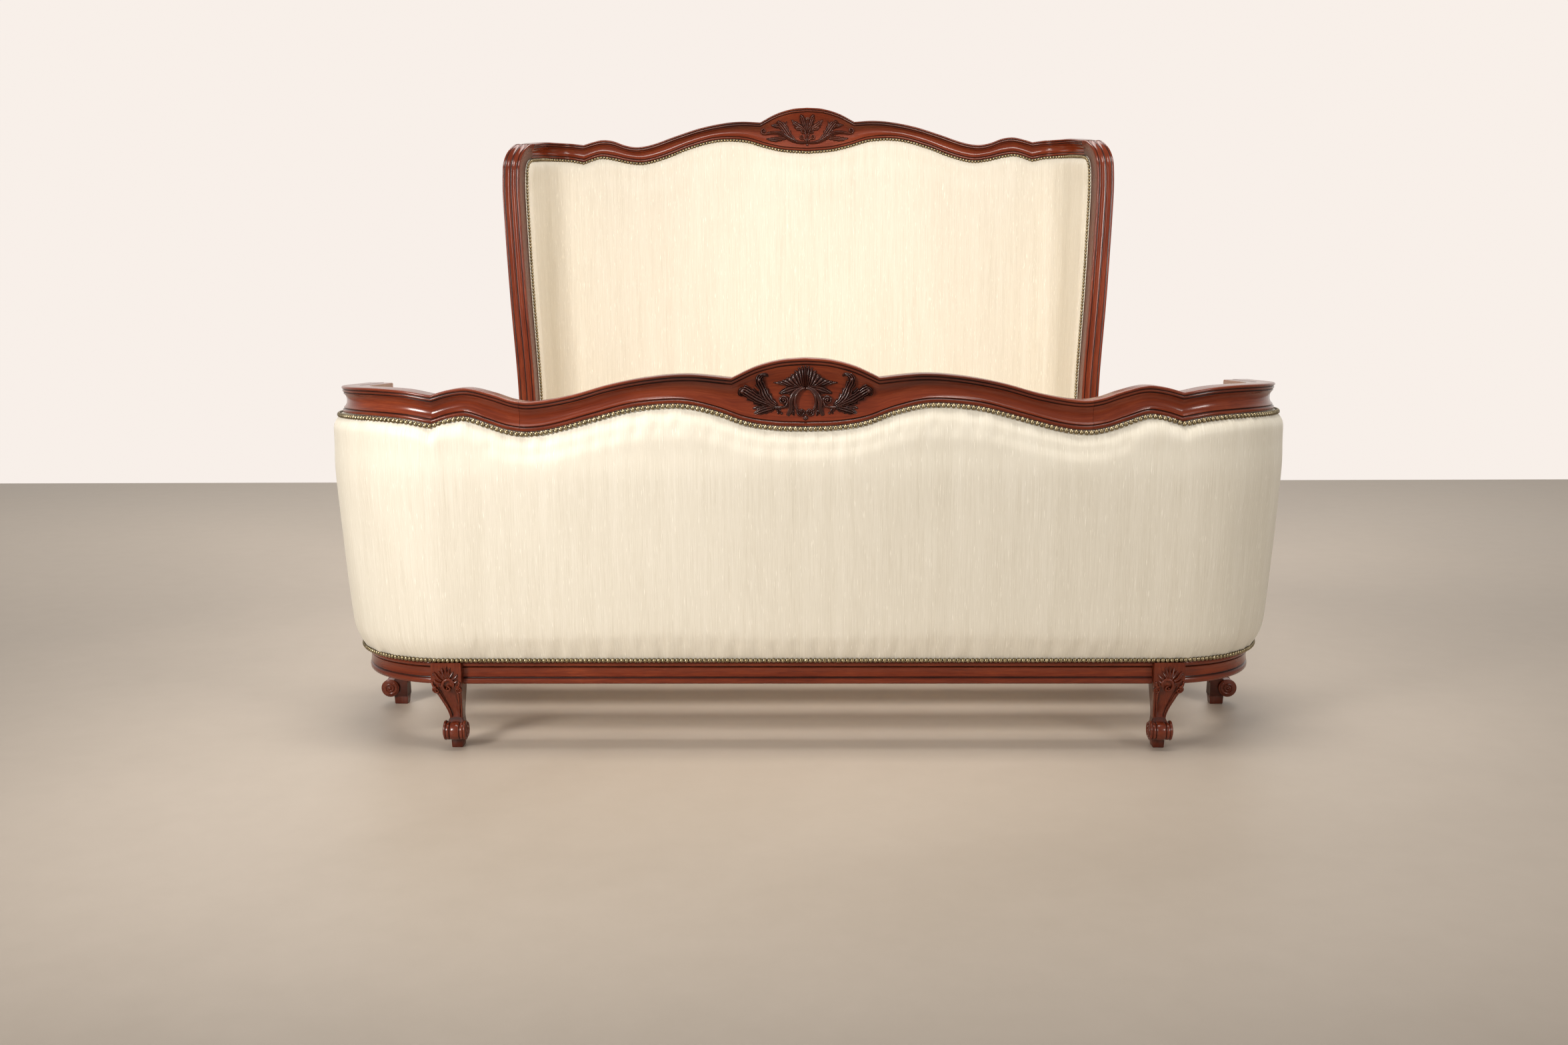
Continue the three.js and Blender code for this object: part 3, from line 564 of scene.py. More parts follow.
# ---------------------------------------------------------------- carving
def ribs(flutes, crease):
    """[across, height, darkness] of a ridge with grooves along it, from one edge to the other."""
    section = [(-1, 0, 1), (-0.97, 0.34, 0.7)]
    count = max(flutes, 1) * 6
    for i in range(count + 1):
        k = -0.9 + 1.8 * i / count
        groove = 0.5 + 0.5 * math.cos(2 * math.pi * flutes * (i / count - 0.5)) if flutes else 0
        groove = groove ** 2
        dark = 0.85 * min(1, crease * 3) * groove ** 1.5
        section.append((k, (1 - 0.42 * k * k) * (1 - crease * groove), dark))
    return section + [(0.97, 0.34, 0.7), (1, 0, 1)]


def stroke(part, lay, path, half, rise, crease=0.0, sunk=3.0, step=1.6, flutes=None, lobes=0, jag=0.34):
    """A carved ridge along (across, up) points. half and rise are one number per point; crease is the
    depth of its grooves, flutes their number, and jag the depth of the lobes that its edges are cut
    into. lay(across, up, height) puts it on a surface, and its edges go sunk below it."""
    far = [0.0]
    for a, b in zip(path, path[1:]):
        far.append(far[-1] + max(math.dist(a, b), 1e-3))
    lines = [smooth(list(zip(far, values))) for values in (*zip(*path), half, rise)]
    count = max(9, round(far[-1] / step))
    rings, ages, grain = [], [], []
    section = ribs((1 if crease else 0) if flutes is None else flutes, crease)
    shift = rng.uniform(0, 500)
    for i in range(count):
        at = far[-1] * (0.5 - 0.5 * math.cos(math.pi * i / (count - 1)))
        u, v, w, h = (line(at) for line in lines)
        du, dv = (line(min(at + 0.05, far[-1])) - line(max(at - 0.05, 0)) for line in lines[:2])
        size = math.hypot(du, dv) or 1
        nu, nv = -dv / size, du / size
        ends = min(at, far[-1] - at) / max(w, 0.1)
        round_off = math.sqrt(max(0.02, 1 - (1 - min(ends, 1)) ** 2))
        tooth = (lobes * at / far[-1]) % 1
        cut = 1 - jag * (1 - tooth ** 0.8) if lobes else 1
        w, h = max(w * round_off, 0.12), max(h, 0.3) * round_off
        ring, dark = [], []
        for k, r, age in section:
            edge_cut = 1 - (1 - cut) * abs(k) ** 1.5
            side = w * k * edge_cut
            ring.append(lay(u + nu * side, v + nv * side, h * r))
            dark.append(min(1, age + (1.6 * (1 - cut) * abs(k) ** 2 if lobes else 0)))
        for side in (w * cut, -w * cut):
            ring.append(lay(u + nu * side, v + nv * side, -sunk))
        rings.append(ring)
        ages.append(dark + [1, 1])
        grain += [(u + shift, v + shift, shift)] * len(ring)
    part.shell(rings, ages, grain)


def spiral(centre, start, end, turns, angle, way):
    """Points of a spiral from radius start to radius end. angle is where it starts, in degrees."""
    points, count = [], int(turns * 12)
    for i in range(count + 1):
        t = i / count
        a = math.radians(angle) + way * 2 * math.pi * turns * t
        r = start + (end - start) * t ** 0.85
        points.append((centre[0] + r * math.cos(a), centre[1] + r * math.sin(a)))
    return points


def boss(part, lay, centre, radius, rise):
    """A domed bead."""
    rings, ages = [], []
    for share, height, age in ((1, -2, 1), (1, 0, 1), (0.94, 0.36 * rise, 0.5), (0.78, 0.68 * rise, 0.1),
                               (0.5, 0.92 * rise, 0), (0.2, rise, 0)):
        r = radius * share
        rings.append([lay(centre[0] + r * math.cos(k * math.pi / 8),
                          centre[1] + r * math.sin(k * math.pi / 8), height) for k in range(16)])
        ages.append([age] * 16)
    part.shell(rings, ages)


def volute(part, lay, centre, radius, angle, way, rise, lead, turns=1.6):
    """A rolled scroll with a bead at its eye; lead is the stem that runs into it."""
    points = lead + spiral(centre, radius, radius * 0.3, turns, angle, way)
    n = len(points)
    stroke(part, lay, points, [radius * (0.33 - 0.13 * i / n) for i in range(n)],
           [rise * (0.8 + 0.2 * i / n) for i in range(n)], step=1.1)
    boss(part, lay, centre, radius * 0.32, rise * 1.15)


def leaf(part, lay, path, half, rise, lobes, flutes):
    """An acanthus leaf with fluted ribs and toothed edges; its last points may roll over."""
    stroke(part, lay, path, [1.28 * w for w in half], rise, 0.40, step=0.9, flutes=flutes, lobes=lobes,
           jag=0.46)


def shell_fan(part, lay):
    """A fluted scallop shell with a beaded rim and long side tips."""
    rim = smooth([[0, 811], [10, 809], [20, 801], [32, 789], [46, 781.5], [66, 777]])
    flutes, reach, root = 9, 66, 768

    def across(k):
        return reach * math.copysign(abs(k) ** 1.25, k)

    rings, ages = [], []
    count = flutes * 12
    for i in range(count + 1):
        k = -1 + 2 * i / count
        u = across(k)
        ridge = abs(math.sin(math.pi * flutes * k))
        top = rim(abs(u)) + 1.6 * ridge
        root_u, root_v = u * 0.34, root + 1.5 * abs(k)
        ring, dark = [], []
        for j in range(11):
            r = j / 10
            x = root_u + (u - root_u) * r
            y = root_v + (top - root_v) * r ** (1 + 0.8 * abs(k))
            swell = 3.0 + 7.5 * math.sin(math.pi * min(r * 0.72 + 0.12, 1)) - 2.5 * abs(k)
            ring.append(lay(x, y, swell * (0.56 + 0.44 * ridge ** 0.8) * (1 if j < 10 else 0.35)))
            dark.append(min(1, (1 - ridge) ** 2 * 1.1 + (0.6 if j in (0, 10) else 0)))
        rings.append(ring + [lay(u, top, -3), lay(root_u, root_v, -3)])
        ages.append(dark + [1, 1])
    part.shell(rings, ages)
    # A bead at the end of each ridge, but one for the two in the middle.
    for i in range(1 - flutes, flutes):
        k = (i + (0.5 if i >= 0 else -0.5)) / flutes if i else 0
        u = across(k)
        boss(part, lay, (u, rim(abs(u)) - 0.4), 3.0 - 0.8 * abs(k), 9.0 - 3.0 * abs(k))


def foot_carving(part, lay):
    """Shell over an oval ring of scrolls, with acanthus leaves. Heights are from the floor."""
    shell_fan(part, lay)
    for side in (-1, 1):
        on = lambda u, v, h, side=side: lay(side * u, v, h)
        # Drooping leaf under the shell.
        leaf(part, on, [(3, 768), (20, 767), (37, 762), (54, 755)], [3, 6.5, 7.5, 1.5], [6, 7.5, 7, 3], 3, 3)
        # Broad scrolls round the oval, flared below it, with a second stem outside them.
        stroke(part, on, [(2, 767.5), (14, 763), (25, 752), (30, 738), (30, 724), (37, 708)],
               [2.4, 4.6, 5.4, 5.2, 4.6, 4.4], [7, 10, 11.5, 11, 9, 5], 0.22, flutes=1)
        stroke(part, on, [(0, 767), (10, 762.5), (18, 753), (21.5, 739), (19.5, 727), (13, 719)],
               [2.0, 3.0, 3.4, 3.4, 3.0, 2.0], [8, 9, 9.5, 9, 8, 6])
        stroke(part, on, [(27, 724), (25, 714), (21, 707)], [3.4, 3.4, 1.4], [7, 6, 3], 0.3, flutes=2)
        volute(part, on, (8.6, 717.5), 6.4, 200, -1, 8.5, [(18, 722), (15, 712), (8, 710)])
        volute(part, on, (45, 741.5), 9.6, 215, -1, 10.0, [(64, 727), (52, 727), (40, 730)])
        # Upper and outer leaf with rolled tips, then the drooping leaf below them.
        leaf(part, on, [(56, 729), (70, 737), (82, 751), (88, 767), (94, 781), (90, 791), (80, 794),
                        (75, 789)],
             [4.5, 8.5, 10.5, 9.0, 9.0, 6.5, 3.6, 1.4], [6, 8, 8.5, 9, 13, 12, 8, 4], 6, 4)
        leaf(part, on, [(58, 728), (76, 735), (96, 744), (114, 755), (127, 762), (132, 756), (128, 750)],
             [4.5, 8.0, 11.5, 12.0, 10.0, 6.0, 2.0], [6, 8, 9, 10, 13.5, 11, 6], 6, 5)
        leaf(part, on, [(60, 727), (76, 724.5), (92, 719.5), (108, 712)], [4, 8.5, 8.5, 1.8],
             [5, 7.5, 7, 3.5], 4, 4)
        leaf(part, on, [(80, 725), (96, 727), (108, 724)], [3, 5, 1.4], [5, 6, 3], 2, 2)
        leaf(part, on, [(62, 727), (54, 720), (57, 711)], [3.5, 4, 1.2], [5, 6, 3], 2, 2)
        boss(part, on, (49, 715), 3.4, 6)
        boss(part, on, (94, 783), 5.2, 14)
        boss(part, on, (128, 760), 5.6, 14.5)
    boss(part, lay, (0, 705.5), 6.0, 10.5)


def head_carving(part, lay):
    """Lyre of leaves over a knot, with scrolling branches. Heights are from the floor."""
    for side in (-1, 1):
        on = lambda u, v, h, side=side: lay(side * u, v, h)
        volute(part, on, (13, 1493), 7.4, 100, -1, 9.5, [(3, 1474), (5, 1486), (8, 1496)])
        volute(part, on, (18, 1475), 7.8, 230, 1, 9.5, [(2, 1461), (9, 1467)])
        leaf(part, on, [(3, 1494), (9, 1510), (14, 1527), (20, 1541), (27, 1540)], [3.5, 7, 9, 8, 2.5],
             [6, 8, 9, 11, 6], 4, 3)
        leaf(part, on, [(9, 1499), (24, 1508), (38, 1517), (53, 1531)], [3.5, 8, 8.5, 2],
             [5, 7.5, 7.5, 4], 4, 3)
        leaf(part, on, [(14, 1500), (30, 1502), (45, 1508)], [2.6, 6, 1.6], [5, 6.5, 3.5], 3, 2)
        # Branch with an S bend that ends in a rolled tip.
        stroke(part, on, [(0, 1457), (22, 1456), (45, 1463), (66, 1475), (86, 1487), (112, 1490),
                          (136, 1487)],
               [4.4, 5.4, 7.0, 8.0, 7.2, 5.6, 5.0], [9, 8.5, 9, 10, 10, 8.5, 8.5], 0.3, flutes=3)
        volute(part, on, (146, 1495), 9.6, 265, 1, 10.0, [(120, 1488), (134, 1486)], 1.2)
        leaf(part, on, [(44, 1463), (60, 1478), (72, 1495), (84, 1511), (95, 1521), (104, 1516)],
             [5, 10.5, 12.5, 12, 8.5, 3], [6, 8, 9, 10, 12, 7], 5, 4)
        leaf(part, on, [(82, 1508), (101, 1512), (122, 1513)], [4, 7.5, 1.8], [6, 8, 4], 4, 3)
        leaf(part, on, [(68, 1494), (74, 1510), (68, 1527)], [3, 5.5, 1.5], [5, 7, 4], 3, 2)
        leaf(part, on, [(66, 1472), (88, 1470), (112, 1467), (138, 1469)], [3.5, 7.5, 8, 2],
             [5, 7.5, 7, 3.5], 5, 3)
        leaf(part, on, [(34, 1459), (46, 1468), (50, 1482)], [3, 5.5, 1.4], [5, 7, 4], 3, 2)
    stroke(part, lay, [(0, 1478), (0, 1464), (0, 1450)], [5.5, 7.5, 5.5], [9, 10, 7], 0.35, flutes=2)
    boss(part, lay, (0, 1449), 5.5, 9.5)
    stroke(part, lay, [(0, 1486), (0, 1508), (0, 1530)], [3.2, 5.5, 3.0], [6, 8, 6], 0.4, flutes=2, lobes=3)
    stroke(part, lay, [(-9, 1528), (0, 1536), (9, 1528)], [2.4, 4.0, 2.4], [5, 7, 5], 0.3, flutes=1)


def crests():
    ground = 8.6  # how far the hollow that carries a carving lies behind the rail's front line
    for end, carve, point, look in (("foot", foot_carving, foot_point, carved),
                                    ("head", head_carving, head_point, carved_warm)):
        part = Part()
        carve(part, lambda u, v, h: point(u, h - ground, v))
        part.build(end + "_crest_carving", look, [end + "_carving"], sharp=60)


crests()


# ---------------------------------------------------------------- console legs
leg_half = smooth([[50, 13.5], [66, 13.6], [85, 17], [112, 24], [138, 31], [150, LEG_HALF], [190, LEG_HALF]])
leg_front = smooth([[50, 12], [66, 12.5], [85, 9.5], [112, 0], [138, -11], [150, -12], [190, -12]])
leg_back = smooth([[50, 42], [85, 44], [112, 47], [140, 50], [190, 50]])
leg_drift = smooth([[0, 14], [56, 13.5], [85, 10], [112, 5], [140, 0], [190, 0]])
# Half of the front, [share of the half width, share of the hollow, depth of a groove, darkness]. The
# grooves fade out towards the top and the foot of the leg, but the drop at its edge does not.
LEG_FACE = ((1.0, 0, 2.6, 0.2), (0.985, 0, 0.8, 0), (0.93, 0, 0, 0), (0.80, 0, 0, 0), (0.76, 0, 0.5, 0.5),
            (0.735, 0.1, 1.8, 1), (0.71, 0.15, 0.6, 0.5), (0.66, 0.2, 0, 0), (0.58, 0.35, 0, 0),
            (0.55, 0.5, 0.9, 1), (0.52, 0.6, 0.2, 0.4), (0.38, 0.85, 0, 0), (0.2, 0.97, 0, 0))
LEG_EDGE = 2.2  # depths from here on are that drop
# Stations across half of the rolled foot, and out along its end discs: [across, change of radius,
# darkness].
ROLL = ((-18, -1.6, 0.8), (-17.5, -0.4, 0.3), (-15.5, 0.1, 0), (-12.4, 0.1, 0), (-11.2, -0.7, 0.6),
        (-10.5, -2, 1), (-9.8, -0.8, 0.6), (-8, 0.3, 0), (-4.2, 0.9, 0), (0, 1.1, 0))
DISC = ((17.2, -4, 1), (17.8, -1.6, 0.8), (18.6, -0.2, 0.2), (20.2, 0.5, 0), (21.8, 0.4, 0),
        (22.9, -0.3, 0), (23.6, -1.6, 0.1))
# The pad under the foot: [height, half width, front, back].
PLINTH = ((0, 10.8, 9, 37), (1.2, 11.6, 8, 38), (12, 12.1, 7.4, 39), (18.8, 12.4, 7, 40),
          (22, 12.4, 7, 40))
# The knee's scroll, the side leaves of its spray and the ridges below: [path, half widths, heights,
# depth of the groove].
KNEE_SCROLL = ([(16, 139), (15, 148), (7, 154.5), (-3, 151.5), (-7.5, 142), (-5, 132.5), (2, 129),
                (7, 133.5), (4.5, 139.5), (0.5, 137)], [1.6, 2.8, 3.3, 3.3, 3.1, 2.9, 2.6, 2.3, 2.0, 1.6],
               [4, 6.5, 7.5, 7.5, 7, 6.5, 6.2, 6, 6, 5], 0.10)
KNEE_LEAVES = (
    ([(-7, 151), (-16, 156), (-25, 168), (-28, 163)], [2.6, 3.8, 3.2, 1.4], [5.5, 7.2, 6, 3.5], 0.28),
    ([(-9, 146), (-18, 147), (-25, 154)], [2.4, 3.4, 1.2], [5, 6.2, 3.4], 0.28),
    ([(10, 152), (19, 159), (25, 166)], [2.2, 3.2, 1.1], [4.5, 6.0, 3], 0.28),
    ([(12, 147), (19, 149), (25, 154)], [2.0, 2.8, 1.0], [4, 5.4, 3], 0.28),
    *(([(k * 20, 123), (k * 16, 105), (k * 10.5, 84), (k * 8.5, 66)], [2.2, 1.8, 1.4, 1.1],
       [3.0, 2.6, 2.2, 1.2], 0.0) for k in (-1, 1)),
)


def console_leg(name, x, y, turns, flip, node):
    """A leg whose front faces -Y, turned by quarter turns; flip mirrors its sideways drift."""
    part = Part()
    c, s = math.cos(turns * math.pi / 2), math.sin(turns * math.pi / 2)

    def put(u, v, z):
        u = flip * (u + leg_drift(z))
        return (x + u * c - v * s, y + u * s + v * c, z)

    def skin(rings, ages, first, second, third):
        """A skin whose grain takes its three numbers from these coordinates of the points."""
        part.shell(rings, ages, [(p[first], p[second], p[third]) for ring in rings for p in ring])

    rings, ages = [], []
    for z in places(52, BASE_TOP, 4.4) + [BASE_TOP + 0.3]:
        w, f, b = leg_half(z), leg_front(z), leg_back(z)
        hollow = 4.2 * ease((z - 60) / 14) * ease((143 - z) / 18)
        flat = ease((z - 60) / 10) * ease((150 - z) / 14)
        inset = 1.2 * ease((z - 187) / 2)
        halves = []
        for k in (-1, 1):
            half = []
            for share, sink, groove, age in LEG_FACE:
                fade = flat if groove < LEG_EDGE else 1
                half.append((k * (w * share - inset), f + inset + sink * hollow + groove * fade, age * fade))
            halves.append(half)
        row = halves[0] + [(0, f + inset + hollow, 0)] + halves[1][::-1]
        row += [(w - inset, b - 2.5, 0.3), (w - 2, b, 0.3), (2 - w, b, 0.3), (inset - w, b - 2.5, 0.3)]
        rings.append([put(u, v, z) for u, v, _ in row])
        ages.append([a for _, _, a in row])
    skin(rings, ages, 2, 0, 1)

    # Rolled foot, seen from the side as a disc with the shaft behind it.
    rings, ages = [], []
    centre_v, centre_z, radius = -1, 39.5, 18.8
    for across, change, age in ROLL + tuple((-a, b, d) for a, b, d in ROLL[-2::-1]):
        r = radius + change
        ring = [(40, 66), (14, 66), (11.6, 62.5)]
        ring += [(centre_v + r * math.cos(math.radians(a)), centre_z + r * math.sin(math.radians(a)))
                 for a in range(62, 271, 11)]
        ring += [(12, centre_z - r), (40, 20)]
        rings.append([put(across if i > 2 else across * 0.74, v, z) for i, (v, z) in enumerate(ring)])
        ages.append([0.6, 0.6, 0.8] + [age] * (len(ring) - 5) + [0.6, 0.8])
    skin(rings, ages, 0, 2, 1)
    disc_v, disc_z, disc_r, disc_face = 1, 40.5, 20.6, 22.6
    for k in (-1, 1):
        rings, ages = [], []
        for across, change, age in DISC:
            r = disc_r + change
            rings.append([put(k * across, disc_v + r * math.cos(a * math.pi / 18),
                              disc_z + r * math.sin(a * math.pi / 18)) for a in range(36)])
            ages.append([age] * 36)
        skin(rings, ages, 0, 2, 1)
        face = lambda u, v, h: put(k * (disc_face + h), disc_v + u, disc_z + v)
        wind = spiral((0, 0), 16.6, 3.4, 1.85, 60, -1)
        n = len(wind)
        stroke(part, face, wind, [3.3 - 1.3 * i / n for i in range(n)], [3.4] * n, sunk=1.5)
        boss(part, face, (0, 0), 4.0, 3.8)
    rings = [[put(u, v, z) for u, v in ((-w, near + 1), (1 - w, near), (w - 1, near), (w, near + 1),
                                        (w, far), (-w, far))] for z, w, near, far in PLINTH]
    skin(rings, 0.35, 2, 0, 1)

    # Carved knee: two volutes at the lower corners, a scroll between them and a spray of leaves.
    knee = lambda u, v, h: put(u, leg_front(v) - h, v)
    volute(part, knee, (-23.5, 130), 7.4, 80, 1, 6.4, [(-29, 150), (-27, 141)])
    volute(part, knee, (23.5, 130), 7.4, 100, -1, 6.4, [(28.5, 150), (27, 141)])
    stroke(part, knee, *KNEE_SCROLL)
    boss(part, knee, (1, 135), 2.4, 7.5)
    for k, (u, v) in enumerate(((-15, 173), (-8, 180), (1, 183), (9, 180), (16, 172))):
        stroke(part, knee, [(1 + u * 0.12, 152), (u * 0.5, 161 + k % 2), (u, v)], [1.8, 3.5, 1.2],
               [5, 7.4, 3.4], 0.32)
    for path, half, rise, crease in KNEE_LEAVES:
        stroke(part, knee, path, half, rise, crease)
    part.age = [0.30 + 0.70 * a for a in part.age]
    part.build(name, mahogany, [node], sharp=50)


def legs():
    for name, side in SIDES:
        for kind, x, y, turns, flip, node in (
            ("foot_front", LEG_X, FOOT_Y - BASE_LIP, 0, -side, "foot_leg_front_"),
            ("foot_corner", FOOT_HALF + BASE_LIP, FOOT_END_Y - LEG_HALF, side, side, "foot_leg_corner_"),
            ("head", HEAD_LEG_X, WING_Y + LEG_HALF, side, side, "head_leg_front_"),
        ):
            console_leg(kind + "_console_leg_" + name, side * x, y, turns, flip, node + name)


legs()

# ---------------------------------------------------------------- domed nails
# [share of the radius, height on a nail of DOME_RADIUS, darkness]
NAIL_PROFILE = ((1.0, -1.2, 1.0), (1.0, 0.25, 0.9), (0.965, 0.8, 0.25), (0.86, 1.7, 0), (0.66, 2.7, 0),
                (0.36, 3.4, 0), (0.12, 3.6, 0))
DOME_RADIUS = 4.9
NAIL_ANGLES = [2 * math.pi * i / 12 for i in range(12)]


def nail_row(name, track, pitch, radius, node):
    """Dome-headed nails about pitch apart along a track of (place, outward direction) pairs."""
    where, outs = (np.array(column, float) for column in zip(*track))
    far = run(where)
    count = round(far[-1] / pitch)
    part = Part()
    for i in range(count):
        at = (i + 0.5) / count * far[-1]
        place = Vector([np.interp(at, far, where[:, k]) for k in range(3)])
        out = Vector([np.interp(at, far, outs[:, k]) for k in range(3)])
        out = (out + Vector([rng.uniform(-0.05, 0.05) for _ in range(3)])).normalized()
        across = out.orthogonal().normalized()
        other = out.cross(across)
        spin, size = rng.uniform(0, 1), radius * rng.uniform(0.97, 1.0)
        rings = [[place + size * share * (across * math.cos(a + spin) + other * math.sin(a + spin))
                  + out * rise * size / DOME_RADIUS for a in NAIL_ANGLES] for share, rise, _ in NAIL_PROFILE]
        part.shell(rings, [[age] for _, _, age in NAIL_PROFILE], [p for ring in rings for p in ring])
    part.build(name, brass, [node], sharp=60)


def nail_track(point, end, height, d, aim, tilt):
    """(place, outward direction) pairs from -end to end, d outside an end's line. The directions are
    taken at aim, and tilt is their upward share."""
    track = []
    for s in np.arange(-end, end + 1, 4.0):
        z = height(s)
        out = (Vector(point(s, aim + 5, z)) - Vector(point(s, aim, z))).normalized()
        out = (out * math.cos(tilt) + Vector((0, 0, 1)) * math.sin(tilt)).normalized()
        track.append((point(s, d, z), out))
    return track


def nails():
    end = PAD_END - 3
    track = nail_track(foot_point, end, lambda s: foot_bottom(s) - 4.2, 9.0, 6, 0.30)
    nail_row("foot_nail_row_top", track, 10.2, 5.25, "foot_nails_top")
    track = nail_track(foot_point, end, lambda s: PAD_LOW + 5.0, -21.6, -26, 0.0)
    nail_row("foot_nail_row_bottom", track, 9.7, 5.0, "foot_nails_bottom")
    # The head's row climbs the left wing post, follows its curl and the rails, and comes down again.
    behind, proud = POST_DEPTH + 6, 3.6
    climb = {}
    for side in (-1, 1):
        climb[side] = [(wing_point(side, WING_Y + behind, proud, z), (-side * 0.9, -0.42, 0))
                       for z in np.arange(BASE_TOP + 8, WING_TOP - SHOULDER + 1, 6)]
        for a in np.linspace(0.15, math.pi / 2, 9):
            r = SHOULDER - behind
            y, z = WING_Y + SHOULDER - r * math.cos(a), WING_TOP - SHOULDER + r * math.sin(a)
            climb[side].append((wing_point(side, y, proud, z), (-side * 0.93, -0.3, 0.1)))
    along = nail_track(head_point, CURL_S - 4, lambda s: head_bottom(s) - 4.4, 3.4, 2, 0.2)
    nail_row("head_nail_row", climb[-1] + along + climb[1][::-1], 10.2, 5.2, "head_nails")


nails()


# ---------------------------------------------------------------- padding
CLOTH_STEPS, CLOTH_ROWS = 20, 34
SHADE_REACH = 16  # how far the dark shade beside a pad's edges reaches
CLOTH = {
    "quality": 5, "mass": 0.3, "tension_stiffness": 12, "compression_stiffness": 12,
    "shear_stiffness": 6, "bending_stiffness": 0.4, "vertex_group_mass": "pins", "use_pressure": True,
    "uniform_pressure_force": 4.0, "shrink_min": -0.012,
}


def relaxed(grid, back, cap):
    """Swells a pinned sheet with Blender's cloth and returns how far each of its points moves, which
    is at most cap."""
    n, m = grid.shape[:2]
    rings = np.concatenate([grid, back], axis=1)
    count = rings.shape[1]
    skin = Part()
    skin.shell(rings, grain=())
    sheet = bpy.data.objects.new("sheet", skin.mesh("sheet"))
    scene = bpy.context.scene
    scene.collection.objects.link(sheet)
    pins = sheet.vertex_groups.new(name="pins")
    held = [i * count + j for i in range(n) for j in range(count)
            if i in (0, n - 1) or j >= m or j in (0, m - 1)]
    pins.add(held, 1.0, "REPLACE")
    cloth = sheet.modifiers.new("cloth", "CLOTH")
    for key, value in CLOTH.items():
        setattr(cloth.settings, key, value)
    cloth.settings.effector_weights.gravity = 0
    cloth.collision_settings.use_collision = False
    cloth.point_cache.frame_start, cloth.point_cache.frame_end = 1, CLOTH_STEPS
    for number in range(1, CLOTH_STEPS + 1):
        scene.frame_set(number)
    result = sheet.evaluated_get(bpy.context.evaluated_depsgraph_get())
    shaped = result.to_mesh()
    moved = np.empty(len(shaped.vertices) * 3)
    shaped.vertices.foreach_get("co", moved)
    moved = moved.reshape(n, count, 3)[:, :m] / MM - grid
    result.to_mesh_clear()
    bpy.data.objects.remove(sheet)
    scene.frame_set(1)
    far = np.linalg.norm(moved, axis=2, keepdims=True)
    return moved * np.minimum(1, cap / np.maximum(far, 1e-6))


def resample(field, n, m):
    """Bilinear resize of an (a, b, 3) field to (n, m, 3)."""
    a, b = field.shape[:2]
    i, j = np.linspace(0, a - 1, n), np.linspace(0, b - 1, m)
    i0, j0 = np.minimum(i.astype(int), a - 2), np.minimum(j.astype(int), b - 2)
    u, v = (i - i0)[:, None, None], (j - j0)[None, :, None]
    return ((1 - u) * (1 - v) * field[i0][:, j0] + u * (1 - v) * field[i0 + 1][:, j0]
            + (1 - u) * v * field[i0][:, j0 + 1] + u * v * field[i0 + 1][:, j0 + 1])


def pucker_field(n, lengths, reach, height, seed):
    """Short creases that start at a held edge and fade with the lengths from it, in millimetres: n
    columns of offsets."""
    draw = np.random.default_rng(seed)
    across = np.cumsum(draw.normal(0, 1, n + 40))
    across = across - np.convolve(across, np.ones(9) / 9, "same")
    across = np.convolve(across, np.ones(3) / 3, "same")[20:20 + n]
    across = across / (across.std() + 1e-9)
    knots = np.arange(0, n + 8, 8)
    spread = np.interp(np.arange(n), knots, draw.uniform(0.4, 1.6, (n + 15) // 8)[: len(knots)])
    far = np.maximum(lengths[None, :], 0)
    fade = np.exp(-far / (reach * spread[:, None])) * np.minimum(1, far / 4)
    return height * across[:, None] * fade


